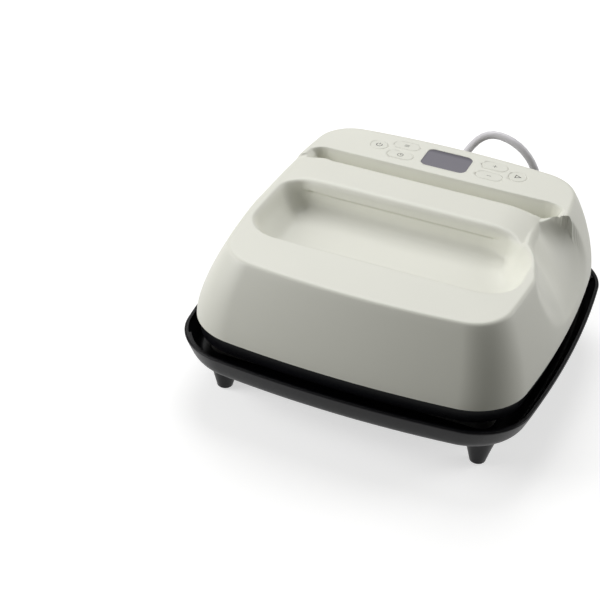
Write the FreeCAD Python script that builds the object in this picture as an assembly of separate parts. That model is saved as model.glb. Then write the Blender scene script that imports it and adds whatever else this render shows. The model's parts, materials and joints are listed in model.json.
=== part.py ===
"""Square household heat press, resting in its safety base.

An upper shell with a recessed two-sided grip and a touch panel stands on a black
skirt that carries a 229 mm square heat plate.  The press lifts straight out of a
four-footed tray.  Millimetres, +Z up, origin on the table under the middle of the tray,
+Y towards the mains cord, +X to the right of the person who faces the panel.
"""
import FreeCAD
import Part
import math
import os

V = FreeCAD.Vector
UP = V(0, 0, 1)

# ---------------------------------------------------------------- driving dimensions
# safety base
TRAY_WIDTH = 290.0           # over the rim
TRAY_DEPTH = 289.0
TRAY_CORNER = 49.0
TRAY_BOW = 7.5               # how far each side bulges
TRAY_RIM_Z = 52.5
TRAY_UNDER_Z = 31.4
TRAY_DRAFT = 8.6             # how far the wall leans in on its way down
TRAY_WALL = 3.2
TRAY_FLOOR = 2.6
TRAY_EDGE = 5.0              # rounding under the wall
TRAY_RIM_ROUND = 1.2
FOOT_X = 104.6
FOOT_Y = 99.0
FOOT_TIP = 6.4               # radius at the table
FOOT_TOP = 15.5              # radius where the leg meets the tray
FOOT_WAIST = 9.9             # radius about half way up
FOOT_PAD = 4.2               # radius of the rubber pad
FOOT_PAD_THICK = 2.0
FOOT_PAD_PROUD = 0.5
LOCATOR_TOP_Z = 50.5
LOCATOR_THICK = 5.0
PAD_SIZE = 24.0              # heat-proof rest pads under the plate
PAD_REACH = 92.0

# heat plate and what it carries
PLATE_SIZE = 229.0
PLATE_CORNER = 12.0
PLATE_Z = 40.0
PLATE_THICK = 10.0
PLATE_EDGE = 1.2
BOSS_REACH = 96.0
BOSS_RADIUS = 6.0
BOSS_TOP_Z = 54.0
ELEMENT_DIAMETER = 7.5
ELEMENT_REACH = 78.0
ELEMENT_BEND = 24.0
BLANKET_SIZE = 222.0
BLANKET_THICK = 6.2
SHIELD_SIZE = 232.0
SHIELD_THICK = 1.0
SHIELD_FLANGE = 5.0
CUTOUT_RADIUS = 8.0
SENSOR_LENGTH = 16.0

# black skirt under the shell
SKIRT_WIDTH = 267.6
SKIRT_DEPTH = 265.2
SKIRT_CORNER = 43.4
SKIRT_BOW_X = 7.2
SKIRT_BOW_Y = 6.8
SKIRT_BOTTOM_Z = 53.0
SKIRT_TOP_Z = 68.0
SKIRT_WALL = 2.6
SKIRT_DECK_Z = 61.2
SKIRT_DECK_THICK = 2.4

# upper shell
SHELL_WIDTH = 274.5          # at its lower edge
SHELL_DEPTH = 271.9
SHELL_CORNER = 46.8
SHELL_BOW_X = 7.4
SHELL_BOW_Y = 7.0
SHELL_Z = 65.45
SHELL_WALL = 2.6
SHELL_RISE = 80.0            # height over which the insets below build up
INSET_SIDE = 29.8
INSET_SIDE_POWER = 1.47
INSET_FRONT = 29.1
INSET_FRONT_POWER = 1.54
INSET_REAR = 21.8
INSET_REAR_POWER = 2.74
TOP_CORNER = 29.5
TOP_BOW = 6.4
DECK_Z = 129.8               # deck height at the origin
DECK_SLOPE = 0.03            # rise towards the rear
DECK_EDGE = 1.4
POCKET_RIM = 2.0
SLOT_RIM = 1.5

# recess in the deck: front finger pocket, seat under the handle, rear thumb slot
RECESS_Z = 105.5
POCKET_HALF = 107.0
POCKET_FRONT = -69.0
POCKET_CORNER = 27.0
POCKET_BOTTOM_ROUND = 17.0
HANDLE_FRONT = 16.0
HANDLE_REAR = 60.0
HANDLE_HALF_FRONT = 97.4     # half length of the handle along its front edge
HANDLE_HALF_REAR = 92.6
SLOT_REAR = 73.5
SLOT_HALF = 103.5
SLOT_CORNER = 11.0
SLOT_MOUTH_Y = 51.0          # where the slot's end wall meets the side hollow
SLOT_RUN_IN = 4.0            # how far the crest line runs on under the handle's end

# hollow in each side wall at the handle's end
HOLLOW_FOOT_Z = 70.0         # where it fades out on the wall
HOLLOW_CREASE_Z = 121.5      # where it meets the handle's end
HOLLOW_DEPTH = 24.1          # at the crease
HOLLOW_POWER = 1.43
HOLLOW_FRONT = -15.0         # middle of its front flank
HOLLOW_REAR = 62.0           # middle of its rear flank
HOLLOW_FRONT_EASE = 12.0     # how softly each flank rises
HOLLOW_REAR_EASE = 4.2
HOLLOW_MIDDLE = 37.0
HOLLOW_LEAN = 0.117          # the crease runs inwards by this much for each millimetre towards the rear
HOLLOW_CLEAR = 1.0           # how far the form stands off the wall beyond the flanks

# handle
HANDLE_TOP_Z = 131.4
HANDLE_FLAT_HALF = 60.0
HANDLE_END_ARCH = 100.0      # radius over which the handle's ends dip
COVER_SKIRT = 8.6            # height of the cover's front face
COVER_WALL = 2.4
COVER_ROUND = 5.5            # along the rear and the ends
COVER_FRONT_ROUND = 2.0
HANDLE_GAP = 0.35

# touch panel, in deck coordinates (x, y along the slope)
LENS_WIDTH = 39.0
LENS_DEPTH = 27.5
LENS_CORNER = 6.0
LENS_X = -1.0
LENS_Y = 98.0
LENS_SUNK = 0.4
LENS_THICK = 1.6
LENS_LEDGE = 1.5
ROUND_BUTTON = 7.2           # radius
PILL_LENGTH = 22.0
PILL_DEPTH = 11.6
BUTTON_GAP = 0.3
BUTTON_PROUD = 0.25
BUTTON_FLANGE = 1.2
BUTTON_TRAVEL = 0.8
BOARD_DROP = 11.0            # from the deck surface to the top of the control board
BOARD_WIDTH = 142.0
BOARD_DEPTH = 34.0
BOARD_THICK = 1.6
BOARD_Y = 97.5
BOARD_BOSS_IN = 4.2          # from a board's edge to its screws
BUZZER_IN = 21.0             # from the board's end to the buzzer

# mains side
POWER_BOARD_WIDTH = 92.0
POWER_BOARD_DEPTH = 46.0
POWER_BOARD_X = -52.0
POWER_BOARD_Y = 91.0
POWER_BOARD_Z = 72.0
TRANSFORMER_WIDTH = 24.0
TRANSFORMER_DEPTH = 28.0
TRANSFORMER_HEIGHT = 20.0
CAPACITOR_RADIUS = 4.5
CAPACITOR_HEIGHT = 15.0
TERMINAL_WIDTH = 24.0
TERMINAL_DEPTH = 8.0
TERMINAL_HEIGHT = 9.0
RELAY_WIDTH = 19.0
RELAY_DEPTH = 16.0
RELAY_HEIGHT = 15.0

# cord
CORD_DIAMETER = 7.0
GLAND_BASE = V(-10.4, 134.6, 89.8)
GLAND_AIM = V(-0.078, 0.997, 0).normalize()
GLAND_LENGTH = 21.0
GLAND_NECK = 7.5             # how far it reaches in through the shell's wall
GLAND_ROOT_RADIUS = 7.0
GLAND_TIP_RADIUS = 4.6
GLAND_COLLAR_RADIUS = 8.4
CORD_LEAD = 25.4             # straight stretch out of the gland
CORD_ROUTE = (
    V(2.2, 203.4, 114.4), V(41.1, 198.6, 107.0), V(58.0, 206.9, 64.3),
    V(61.0, 226.0, 3.5), V(61.0, 272.0, 3.5),
)
COIL_X = 13.0
COIL_Y = 280.0
COIL_OUTER_TURN = 48.0       # middle of the outermost turn, in the lower layer
COIL_COLUMNS = 4             # turns side by side below; one fewer lies on top of them
TAIL_LENGTH = 44.0
PLUG_LENGTH = 34.0
PLUG_WIDTH = 27.0
PLUG_HEIGHT = 21.0
PLUG_NECK = 12.0
BLADE_LENGTH = 17.0
BLADE_WIDTH = 6.35
BLADE_THICK = 1.5
BLADE_SPREAD = 12.7
EARTH_PIN_RADIUS = 2.4
EARTH_PIN_LENGTH = 20.0

# ---------------------------------------------------------------- plain geometry


def box(x0, x1, y0, y1, z0, z1):
    """Box between two corners."""
    return Part.makeBox(x1 - x0, y1 - y0, z1 - z0, V(x0, y0, z0))


def drum(x, y, z0, z1, radius):
    """Upright cylinder."""
    return Part.makeCylinder(radius, z1 - z0, V(x, y, z0), UP)


def bowed_outline(width, depth, corner, bow_x, bow_y, z, y_mid=0.0):
    """Closed wire: a rounded rectangle whose four sides are long outward arcs."""
    half_w, half_d = width / 2, depth / 2
    rise_x, rise_y = half_d - 0.6 * corner, half_w - 0.6 * corner
    radius_x = (rise_x ** 2 + bow_x ** 2) / (2 * bow_x)
    radius_y = (rise_y ** 2 + bow_y ** 2) / (2 * bow_y)
    side_mid = V(half_w - radius_x, 0, 0)
    end_mid = V(0, half_d - radius_y, 0)
    across = end_mid - side_mid
    gap = across.Length
    reach_x, reach_y = radius_x - corner, radius_y - corner
    along = (reach_x ** 2 - reach_y ** 2 + gap ** 2) / (2 * gap)
    lift = math.sqrt(reach_x ** 2 - along ** 2)
    unit = across / gap
    turned = V(-unit.y, unit.x, 0)
    centre = side_mid + unit * along + turned * lift
    side_end = side_mid + (centre - side_mid) / reach_x * radius_x
    top_end = end_mid + (centre - end_mid) / reach_y * radius_y
    middle = centre + (centre - (side_mid + end_mid) / 2).normalize() * corner
    edges = []
    for sx, sy in ((1, 1), (-1, 1), (-1, -1), (1, -1)):
        here = [V(sx * p.x, sy * p.y + y_mid, z) for p in (side_end, middle, top_end)]
        across_side = [V(sx * side_end.x, -sy * side_end.y + y_mid, z), V(sx * half_w, y_mid, z), here[0]]
        across_end = [here[2], V(0, sy * half_d + y_mid, z), V(-sx * top_end.x, sy * top_end.y + y_mid, z)]
        if sx == sy:
            edges += [Part.Arc(*points).toShape() for points in (across_side, here, across_end)]
        else:
            edges += [Part.Arc(*reversed(here)).toShape()]
    return Part.Wire(Part.__sortEdges__(edges))


def bowed_prism(width, depth, corner, bow_x, bow_y, z0, z1):
    """Upright prism over a bowed outline."""
    outline = bowed_outline(width, depth, corner, bow_x, bow_y, z0)
    return Part.Face(outline).extrude(V(0, 0, z1 - z0))


def rounded_slab(width, depth, corner, z0, z1, x=0.0, y=0.0):
    """Upright prism over a plain rounded rectangle."""
    slab = box(x - width / 2, x + width / 2, y - depth / 2, y + depth / 2, z0, z1)
    return slab.makeFillet(corner, upright_edges(slab))


def upright_edges(shape):
    """Straight edges of a shape that run along Z."""
    found = []
    for edge in shape.Edges:
        run = edge.Vertexes[-1].Point - edge.Vertexes[0].Point
        if run.Length > 0.01 and abs(run.z) > 0.999 * run.Length:
            found.append(edge)
    return found


def edges_at(shape, z, tolerance=0.01):
    """Edges of a shape that lie wholly at one height."""
    low, high = z - tolerance, z + tolerance
    return [e for e in shape.Edges if low < e.BoundBox.ZMin and e.BoundBox.ZMax < high]


def pill(length, depth, z0, z1, x, y):
    """Upright prism with round ends."""
    return rounded_slab(length, depth, depth / 2 - 0.01, z0, z1, x, y)


def polygon_prism(points, z0, z1):
    """Upright prism over a polygon of (x, y) points."""
    corners = [V(x, y, z0) for x, y in points]
    return Part.Face(Part.makePolygon(corners + corners[:1])).extrude(V(0, 0, z1 - z0))


def arc_path(points, bend=None):
    """Wire of straight runs joined by tangent arcs, and the radius used at each inner point.

    Each arc has the radius bend, or takes 0.45 of the shorter run beside it.
    """
    edges, radii = [], []
    last = points[0]
    for before, here, after in zip(points, points[1:], points[2:]):
        back, ahead = before - here, after - here
        turn = math.pi - back.getAngle(ahead)
        room = bend * math.tan(turn / 2) if bend else 0.45 * min(back.Length, ahead.Length)
        radius = room / math.tan(turn / 2)
        start = here + V(back).normalize() * room
        end = here + V(ahead).normalize() * room
        bisector = (V(back).normalize() + V(ahead).normalize()).normalize()
        crown = here + bisector * (radius / math.cos(turn / 2) - radius)
        edges += [Part.LineSegment(last, start).toShape(), Part.Arc(start, crown, end).toShape()]
        radii.append(radius)
        last = end
    edges.append(Part.LineSegment(last, points[-1]).toShape())
    return Part.Wire(edges), radii


def tube(points, diameter, bend=None):
    """Round tube along a route of straight runs and tangent arcs, its radii and its length."""
    path, radii = arc_path(points, bend)
    heading = (points[1] - points[0]).normalize()
    section = Part.Wire(Part.Circle(points[0], heading, diameter / 2).toShape())
    return path.makePipeShell([section], True, True), radii, path.Length


def on_deck(shape):
    """Move a shape drawn with the deck surface at z = 0 to its place on the sloping deck."""
    angle = math.degrees(math.atan(DECK_SLOPE))
    placed = shape.copy()
    placed.Placement = FreeCAD.Placement(V(0, 0, DECK_Z), FreeCAD.Rotation(V(1, 0, 0), angle))
    return placed


def above_deck(drop=0.0):
    """Everything above the sloping deck surface, or above a surface that lies lower by drop."""
    return on_deck(box(-200, 200, -200, 200, -drop, 80))


# ---------------------------------------------------------------- shell forms


def shell_body(inward=0.0):
    """Outer form of the shell up past the deck; inward gives the same form one wall further in."""
    sections = []
    for level in (0.0, 0.16, 0.34, 0.56, 0.78, 1.0):
        side = INSET_SIDE * level ** INSET_SIDE_POWER
        front = INSET_FRONT * level ** INSET_FRONT_POWER
        rear = INSET_REAR * level ** INSET_REAR_POWER
        sections.append(bowed_outline(
            SHELL_WIDTH - 2 * (side + inward),
            SHELL_DEPTH - front - rear - 2 * inward,
            SHELL_CORNER + (TOP_CORNER - SHELL_CORNER) * level - inward,
            SHELL_BOW_X + (TOP_BOW - SHELL_BOW_X) * level,
            SHELL_BOW_Y + (TOP_BOW - SHELL_BOW_Y) * level,
            SHELL_Z + SHELL_RISE * level,
            (front - rear) / 2,
        ))
    return Part.makeLoft(sections, True, False)


def pocket_form(grow=0.0):
    """Front finger pocket: a scoop that runs on under the handle, cut off at the handle's front."""
    half, front, corner = POCKET_HALF + grow, POCKET_FRONT - grow, POCKET_CORNER + grow
    foot, rear = RECESS_Z - grow, HANDLE_FRONT + grow
    scoop = rounded_slab(2 * half, HANDLE_REAR - front, corner, foot, DECK_Z + 20,
                         0, (front + HANDLE_REAR) / 2)
    scoop = scoop.makeFillet(POCKET_BOTTOM_ROUND + grow, edges_at(scoop, foot))
    plan = rounded_slab(2 * half, rear - front, corner, foot - 1, DECK_Z + 21, 0, (front + rear) / 2)
    return scoop.common(plan)


def seat_form(grow=0.0):
    """Bay that holds the handle; its ends lean together towards the rear."""
    half_front, half_rear = HANDLE_HALF_FRONT + grow, HANDLE_HALF_REAR + grow
    lap = 10.0
    lean = (half_front - half_rear) / (HANDLE_REAR - HANDLE_FRONT)
    front, rear = HANDLE_FRONT - lap, HANDLE_REAR + lap
    corners = ((-half_front - lean * lap, front), (half_front + lean * lap, front),
               (half_rear - lean * lap, rear), (-half_rear + lean * lap, rear))
    return polygon_prism(corners, RECESS_Z - grow, DECK_Z + 20)


def slot_form(grow=0.0):
    """Rear thumb slot, which runs round the handle's rear corners up to the crests of the hollows."""
    half, rear = SLOT_HALF + grow, SLOT_REAR + grow
    corner = SLOT_CORNER + grow
    slab = rounded_slab(2 * half, 4 * corner, corner, RECESS_Z - grow, DECK_Z + 20, 0, rear - 2 * corner)
    inner, crest = HANDLE_HALF_REAR - SLOT_RUN_IN, HANDLE_REAR + 0.75 * SLOT_RUN_IN - grow
    end = SLOT_MOUTH_Y - grow
    corners = ((-half - 1, end), (-inner, crest), (inner, crest), (half + 1, end), (half + 1, rear + 1),
               (-half - 1, rear + 1))
    return slab.common(polygon_prism(corners, RECESS_Z - grow - 1, DECK_Z + 21))


def hollow_share(y, z):
    """Share of the hollow's depth at a place: 1 in its middle, 0 beyond its flanks."""
    front = HOLLOW_FRONT + 0.0215 * (z - 106.0) ** 2
    rear = HOLLOW_REAR - 0.036 * max(z - 108.0, 0.0) ** 2 - 0.01 * max(108.0 - z, 0.0) ** 2
    rise = 1 / (1 + math.exp((front - y) / HOLLOW_FRONT_EASE))
    fall = 1 / (1 + math.exp((y - rear) / HOLLOW_REAR_EASE))
    return rise * fall


def hollow_form(deeper=0.0):
    """Space outside the right-hand hollow's surface, drawn as outlines at rising heights."""
    outlines = []
    places = [-96.0 + 4.5 * step for step in range(48)]
    for level in range(17):
        z = HOLLOW_FOOT_Z + 4.0 * level
        wall = SHELL_WIDTH / 2 - INSET_SIDE * (max(z - SHELL_Z, 0.0) / SHELL_RISE) ** INSET_SIDE_POWER
        climb = max(z - HOLLOW_FOOT_Z, 0.0) / (HOLLOW_CREASE_Z - HOLLOW_FOOT_Z)
        depth = HOLLOW_CLEAR + HOLLOW_DEPTH * climb ** HOLLOW_POWER
        surface = []
        for y in places:
            share = hollow_share(y, z)
            taken = (depth + HOLLOW_LEAN * (y - HOLLOW_MIDDLE)) * share
            surface.append(V(wall - 7.0 * (y / 102.0) ** 2 + HOLLOW_CLEAR - taken - deeper, y, z))
        curve = Part.BSplineCurve()
        curve.interpolate(Points=surface, Parameters=places)
        corners = [surface[-1], V(200, places[-1], z), V(200, places[0], z), surface[0]]
        rest = [Part.LineSegment(a, b).toShape() for a, b in zip(corners, corners[1:])]
        outlines.append(Part.Wire([curve.toShape()] + rest))
    return Part.makeLoft(outlines, True, False)


# ---------------------------------------------------------------- screw and boss places
SIGNS = [(sx, sy) for sx in (-1, 1) for sy in (-1, 1)]
SHELL_BOSSES = [(sx * x, sy * y) for x, y in ((121.0, 78.0), (46.0, 121.0)) for sx, sy in SIGNS]
SHELL_BOSS_RADIUS = 4.5
SHELL_SCREW_RADIUS = 1.7
HANDLE_SCREW_X = (-75.0, -28.0, 28.0, 75.0)
HANDLE_SCREW_Y = 38.0
PLATE_BOSSES = [(x, y) for x in (-BOSS_REACH, 0, BOSS_REACH) for y in (-BOSS_REACH, 0, BOSS_REACH) if x or y]
BOARD_BOSS_X = BOARD_WIDTH / 2 - BOARD_BOSS_IN
BOARD_BOSS_Y = BOARD_DEPTH / 2 - BOARD_BOSS_IN
BOARD_BOSSES = [(sx * BOARD_BOSS_X, BOARD_Y + sy * BOARD_BOSS_Y) for sx, sy in SIGNS]
POWER_POST_X = POWER_BOARD_WIDTH / 2 - BOARD_BOSS_IN
POWER_POST_Y = POWER_BOARD_DEPTH / 2 - BOARD_BOSS_IN
POWER_POSTS = [(POWER_BOARD_X + sx * POWER_POST_X, POWER_BOARD_Y + sy * POWER_POST_Y) for sx, sy in SIGNS]
FEET = [(sx * FOOT_X, sy * FOOT_Y) for sx, sy in SIGNS]
PILLS = {"temperature_button": (-38.5, 106.0), "timer_button": (-38.5, 89.5),
         "plus_button": (37.5, 107.0), "minus_button": (37.5, 90.5)}
ROUNDS = {"power_button": (-60.0, 97.5), "start_button": (59.0, 99.5)}
SKIRT_FLOOR_TOP = SKIRT_DECK_Z + SKIRT_DECK_THICK
TRAY_FLOOR_TOP = TRAY_UNDER_Z + TRAY_FLOOR
TERMINAL_X = POWER_BOARD_X + POWER_BOARD_WIDTH / 2 - BOARD_BOSS_IN * 2 - TERMINAL_WIDTH / 2


# ---------------------------------------------------------------- upper shell


def make_upper_shell():
    """Moulded housing: hollow, open below, with the recess, the side hollows and the panel holes."""
    outside = shell_body().cut(above_deck())
    outside = outside.makeFillet(DECK_EDGE, deck_edges(outside))
    outside = outside.cut([pocket_form(), slot_form()])
    outside = outside.makeFillet(POCKET_RIM, rim_edges(outside, POCKET_FRONT - 1, HANDLE_FRONT + 1))
    outside = outside.makeFillet(SLOT_RIM, rim_edges(outside, SLOT_MOUTH_Y - 1, SLOT_REAR + 1))
    hollow = hollow_form()
    shell = outside.cut([hollow, hollow.mirror(V(0, 0, 0), V(1, 0, 0)), seat_form()])
    inside = shell_body(SHELL_WALL).cut(above_deck(SHELL_WALL))
    low_hollow = hollow_form(1.4 * SHELL_WALL)
    inside = inside.cut([pocket_form(SHELL_WALL), seat_form(SHELL_WALL), slot_form(SHELL_WALL),
                         low_hollow, low_hollow.mirror(V(0, 0, 0), V(1, 0, 0))])
    posts = []
    for x, y in SHELL_BOSSES:
        posts.append(drum(x, y, SKIRT_FLOOR_TOP, DECK_Z, SHELL_BOSS_RADIUS).common(inside))
    panel_posts = on_deck(Part.makeCompound(
        [drum(x, y, -BOARD_DROP, -SHELL_WALL + 0.2, 3.2) for x, y in BOARD_BOSSES]))
    shell = shell.cut(inside).fuse(posts + panel_posts.Solids)
    drills = [drum(x, y, SHELL_Z - 10, SKIRT_FLOOR_TOP + 20, SHELL_SCREW_RADIUS) for x, y in SHELL_BOSSES]
    drills += [drum(x, HANDLE_SCREW_Y, RECESS_Z - 5, RECESS_Z + 1, 1.8) for x in HANDLE_SCREW_X]
    gland_hole = Part.makeCylinder(GLAND_ROOT_RADIUS + 0.2, 30, GLAND_BASE - GLAND_AIM * 15, GLAND_AIM)
    return shell.cut(drills + [gland_hole] + panel_holes())


def rim_edges(shape, front, rear):
    """Edges in the deck surface round a recess that lies between two places along Y."""
    found = []
    for edge in deck_edges(shape):
        middle = edge.valueAt((edge.FirstParameter + edge.LastParameter) / 2)
        if front < middle.y < rear and abs(middle.x) < POCKET_HALF + 1:
            found.append(edge)
    return found


def deck_edges(shape):
    """Edges round the sloping deck surface."""
    found = []
    for edge in shape.Edges:
        ends = [edge.valueAt(edge.FirstParameter), edge.valueAt(edge.LastParameter)]
        if all(abs(p.z - DECK_Z - DECK_SLOPE * p.y) < 0.02 for p in ends):
            found.append(edge)
    return found


def panel_holes():
    """Openings in the deck for the buttons, the lens and the board's screws."""
    cuts = [rounded_slab(LENS_WIDTH + 2 * BUTTON_GAP, LENS_DEPTH + 2 * BUTTON_GAP, LENS_CORNER + BUTTON_GAP,
                         -LENS_SUNK - LENS_THICK, 3, LENS_X, LENS_Y),
            rounded_slab(LENS_WIDTH - 2 * LENS_LEDGE, LENS_DEPTH - 2 * LENS_LEDGE, LENS_CORNER - LENS_LEDGE,
                         -5, 3, LENS_X, LENS_Y)]
    for x, y in ROUNDS.values():
        cuts.append(drum(x, y, -5, 3, ROUND_BUTTON + BUTTON_GAP))
    for x, y in PILLS.values():
        cuts.append(pill(PILL_LENGTH + 2 * BUTTON_GAP, PILL_DEPTH + 2 * BUTTON_GAP, -5, 3, x, y))
    for x, y in BOARD_BOSSES:
        cuts.append(drum(x, y, -BOARD_DROP - 1, -BOARD_DROP + 6, 1.1))
    return [on_deck(cut) for cut in cuts]


# ---------------------------------------------------------------- handle


def handle_plan(inset, z0, z1):
    """Upright prism over the handle's plan: leaning ends and front corners that follow the pocket."""
    lean = (HANDLE_HALF_FRONT - HANDLE_HALF_REAR) / (HANDLE_REAR - HANDLE_FRONT)
    reach = 8.0
    front, rear = HANDLE_FRONT - reach, HANDLE_REAR - inset
    half_front = HANDLE_HALF_FRONT + lean * reach - inset
    half_rear = HANDLE_HALF_REAR + lean * inset - inset
    corners = ((-half_front, front), (half_front, front), (half_rear, rear), (-half_rear, rear))
    bar = polygon_prism(corners, z0, z1)
    pocket_rear = HANDLE_FRONT + inset
    pocket = rounded_slab(2 * (POCKET_HALF + inset), 80, POCKET_CORNER + inset, z0 - 1, z1 + 1,
                          0, pocket_rear - 40)
    return bar.cut(pocket)


def arch(low, high):
    """Bar over the handle's plan between two copies of its top line, dropped by low and by high."""
    end = HANDLE_HALF_FRONT + 6
    dip = HANDLE_END_ARCH - math.sqrt(HANDLE_END_ARCH ** 2 - (end - HANDLE_FLAT_HALF) ** 2)
    half_way = (HANDLE_FLAT_HALF + end) / 2
    mid_dip = HANDLE_END_ARCH - math.sqrt(HANDLE_END_ARCH ** 2 - (half_way - HANDLE_FLAT_HALF) ** 2)
    lines = []
    for drop in (high, low):
        top = HANDLE_TOP_Z - drop
        left = [V(-end, 0, top - dip), V(-half_way, 0, top - mid_dip), V(-HANDLE_FLAT_HALF, 0, top)]
        points = left + [V(-p.x, 0, p.z) for p in reversed(left)]
        lines.append([Part.Arc(*points[:3]).toShape(), Part.LineSegment(points[2], points[3]).toShape(),
                      Part.Arc(*points[3:]).toShape(), points[0], points[-1]])
    sides = [Part.LineSegment(lines[0][k], lines[1][k]).toShape() for k in (3, 4)]
    outline = Part.Wire(Part.__sortEdges__(lines[0][:3] + lines[1][:3] + sides))
    return Part.Face(outline).extrude(V(0, 100, 0))


def make_handle_cover():
    """Top of the handle: an arched bar with a folded-down front, hollow below, with screw posts."""
    block = handle_plan(HANDLE_GAP, RECESS_Z, DECK_Z + 20).common(arch(COVER_SKIRT, 0))
    crest = [e for e in block.Edges if on_crest(e)]
    block = block.makeFillet(COVER_ROUND, [e for e in crest if e.CenterOfMass.y > HANDLE_FRONT + 3])
    front = [e for e in block.Edges if on_crest(e) and e.CenterOfMass.y < HANDLE_FRONT + 3]
    block = block.makeFillet(COVER_FRONT_ROUND, front)
    under = handle_plan(HANDLE_GAP + COVER_WALL, RECESS_Z, DECK_Z + 20)
    under = under.common(arch(COVER_SKIRT + 6, COVER_WALL))
    posts = []
    for x in HANDLE_SCREW_X:
        post = drum(x, HANDLE_SCREW_Y, RECESS_Z + 3, HANDLE_TOP_Z - 2, 3.6)
        drill = drum(x, HANDLE_SCREW_Y, RECESS_Z, RECESS_Z + 17, 1.4)
        posts.append(post.cut(drill).common(arch(40, 0.5)))
    return block.cut(under).fuse(posts)


def on_crest(edge):
    """Whether an edge lies on the handle's top line."""
    point = edge.valueAt((edge.FirstParameter + edge.LastParameter) / 2)
    past = max(abs(point.x) - HANDLE_FLAT_HALF, 0)
    dip = HANDLE_END_ARCH - math.sqrt(HANDLE_END_ARCH ** 2 - past ** 2)
    return abs(point.z - HANDLE_TOP_Z + dip) < 0.05


def make_handle_body():
    """Lower half of the handle: a trough that stands on the seat and closes the pocket's rear."""
    block = handle_plan(HANDLE_GAP, RECESS_Z, DECK_Z + 20).common(arch(60, COVER_SKIRT))
    inner = handle_plan(HANDLE_GAP + COVER_WALL, RECESS_Z + COVER_WALL, DECK_Z + 20)
    trough = block.cut(inner)
    return trough.cut([drum(x, HANDLE_SCREW_Y, RECESS_Z - 1, RECESS_Z + 4, 1.8) for x in HANDLE_SCREW_X])


def make_handle_screws():
    """Four screws that come up through the seat into the cover's posts."""
    screws = []
    under = RECESS_Z - SHELL_WALL
    for x in HANDLE_SCREW_X:
        head = drum(x, HANDLE_SCREW_Y, under - 2.2, under, 3.0)
        screws.append(head.fuse(drum(x, HANDLE_SCREW_Y, under - 0.5, RECESS_Z + 14, 1.4)))
    return Part.makeCompound(screws)


# ---------------------------------------------------------------- touch panel


def make_button(x, y, pill_shaped):
    """Button cap with its retaining flange and stem, in its hole in the deck."""
    top, under = BUTTON_PROUD, -SHELL_WALL - 0.1
    if pill_shaped:
        cap = pill(PILL_LENGTH, PILL_DEPTH, under, top, x, y)
        flange = pill(PILL_LENGTH + 2 * BUTTON_FLANGE, PILL_DEPTH + 2 * BUTTON_FLANGE,
                      under - 1.2, under, x, y)
    else:
        cap = drum(x, y, under, top, ROUND_BUTTON)
        flange = drum(x, y, under - 1.2, under, ROUND_BUTTON + BUTTON_FLANGE)
    cap = cap.makeFillet(0.5, edges_at(cap, top))
    stem = drum(x, y, -5.7, under - 1.0, 2.2)
    return on_deck(cap.fuse([flange, stem]).removeSplitter())


def make_lens():
    """Clear window, slightly sunk into the deck."""
    lens = rounded_slab(LENS_WIDTH, LENS_DEPTH, LENS_CORNER, -LENS_SUNK - LENS_THICK, -LENS_SUNK,
                        LENS_X, LENS_Y)
    return on_deck(lens)


def make_display():
    """Display module that stands on the control board under the lens."""
    glass = rounded_slab(LENS_WIDTH - 5, LENS_DEPTH - 5, 1.5, -5.2, -SHELL_WALL - 0.1, LENS_X, LENS_Y)
    frame = box(LENS_X - 19, LENS_X + 19, LENS_Y - 13, LENS_Y + 13, -BOARD_DROP, -5.2)
    return on_deck(frame.fuse(glass))


def make_control_board():
    """Control board with its processor, hung from four posts under the deck."""
    top = -BOARD_DROP
    board = box(-BOARD_WIDTH / 2, BOARD_WIDTH / 2, BOARD_Y - BOARD_DEPTH / 2, BOARD_Y + BOARD_DEPTH / 2,
                top - BOARD_THICK, top)
    chip = box(-8, 8, BOARD_Y - 7, BOARD_Y + 7, top - BOARD_THICK - 1.6, top - BOARD_THICK)
    plug = box(22, 34, BOARD_Y - 14, BOARD_Y - 8, top - BOARD_THICK - 6, top - BOARD_THICK)
    holes = [drum(x, y, top - 5, top + 1, 1.5) for x, y in BOARD_BOSSES]
    return on_deck(board.fuse([chip, plug]).cut(holes))


def make_switches():
    """Six small push switches on the control board, one under each button."""
    switches = []
    for x, y in list(ROUNDS.values()) + list(PILLS.values()):
        body = box(x - 3, x + 3, y - 3, y + 3, -BOARD_DROP, -BOARD_DROP + 3.5)
        switches.append(body.fuse(drum(x, y, -BOARD_DROP + 3.4, -BOARD_DROP + 4.2, 1.7)))
    return on_deck(Part.makeCompound(switches))


def make_board_screws():
    """Four screws that hold the control board to its posts."""
    under = -BOARD_DROP - BOARD_THICK
    screws = []
    for x, y in BOARD_BOSSES:
        head = drum(x, y, under - 1.8, under, 2.4)
        screws.append(head.fuse(drum(x, y, under, under + 6, 1.05)))
    return on_deck(Part.makeCompound(screws))


def make_buzzer():
    """Round buzzer under the control board."""
    under = -BOARD_DROP - BOARD_THICK
    x = BOARD_WIDTH / 2 - BUZZER_IN
    buzzer = drum(x, BOARD_Y, under - 6.5, under, 6.0)
    return on_deck(buzzer.cut(drum(x, BOARD_Y, under - 7, under - 5.5, 1.2)))


# ---------------------------------------------------------------- skirt, plate and mains parts


def skirt_prism(inset, z0, z1):
    """Upright prism over the skirt's outline, moved in by inset."""
    return bowed_prism(SKIRT_WIDTH - 2 * inset, SKIRT_DEPTH - 2 * inset, SKIRT_CORNER - inset,
                       SKIRT_BOW_X, SKIRT_BOW_Y, z0, z1)


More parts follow.
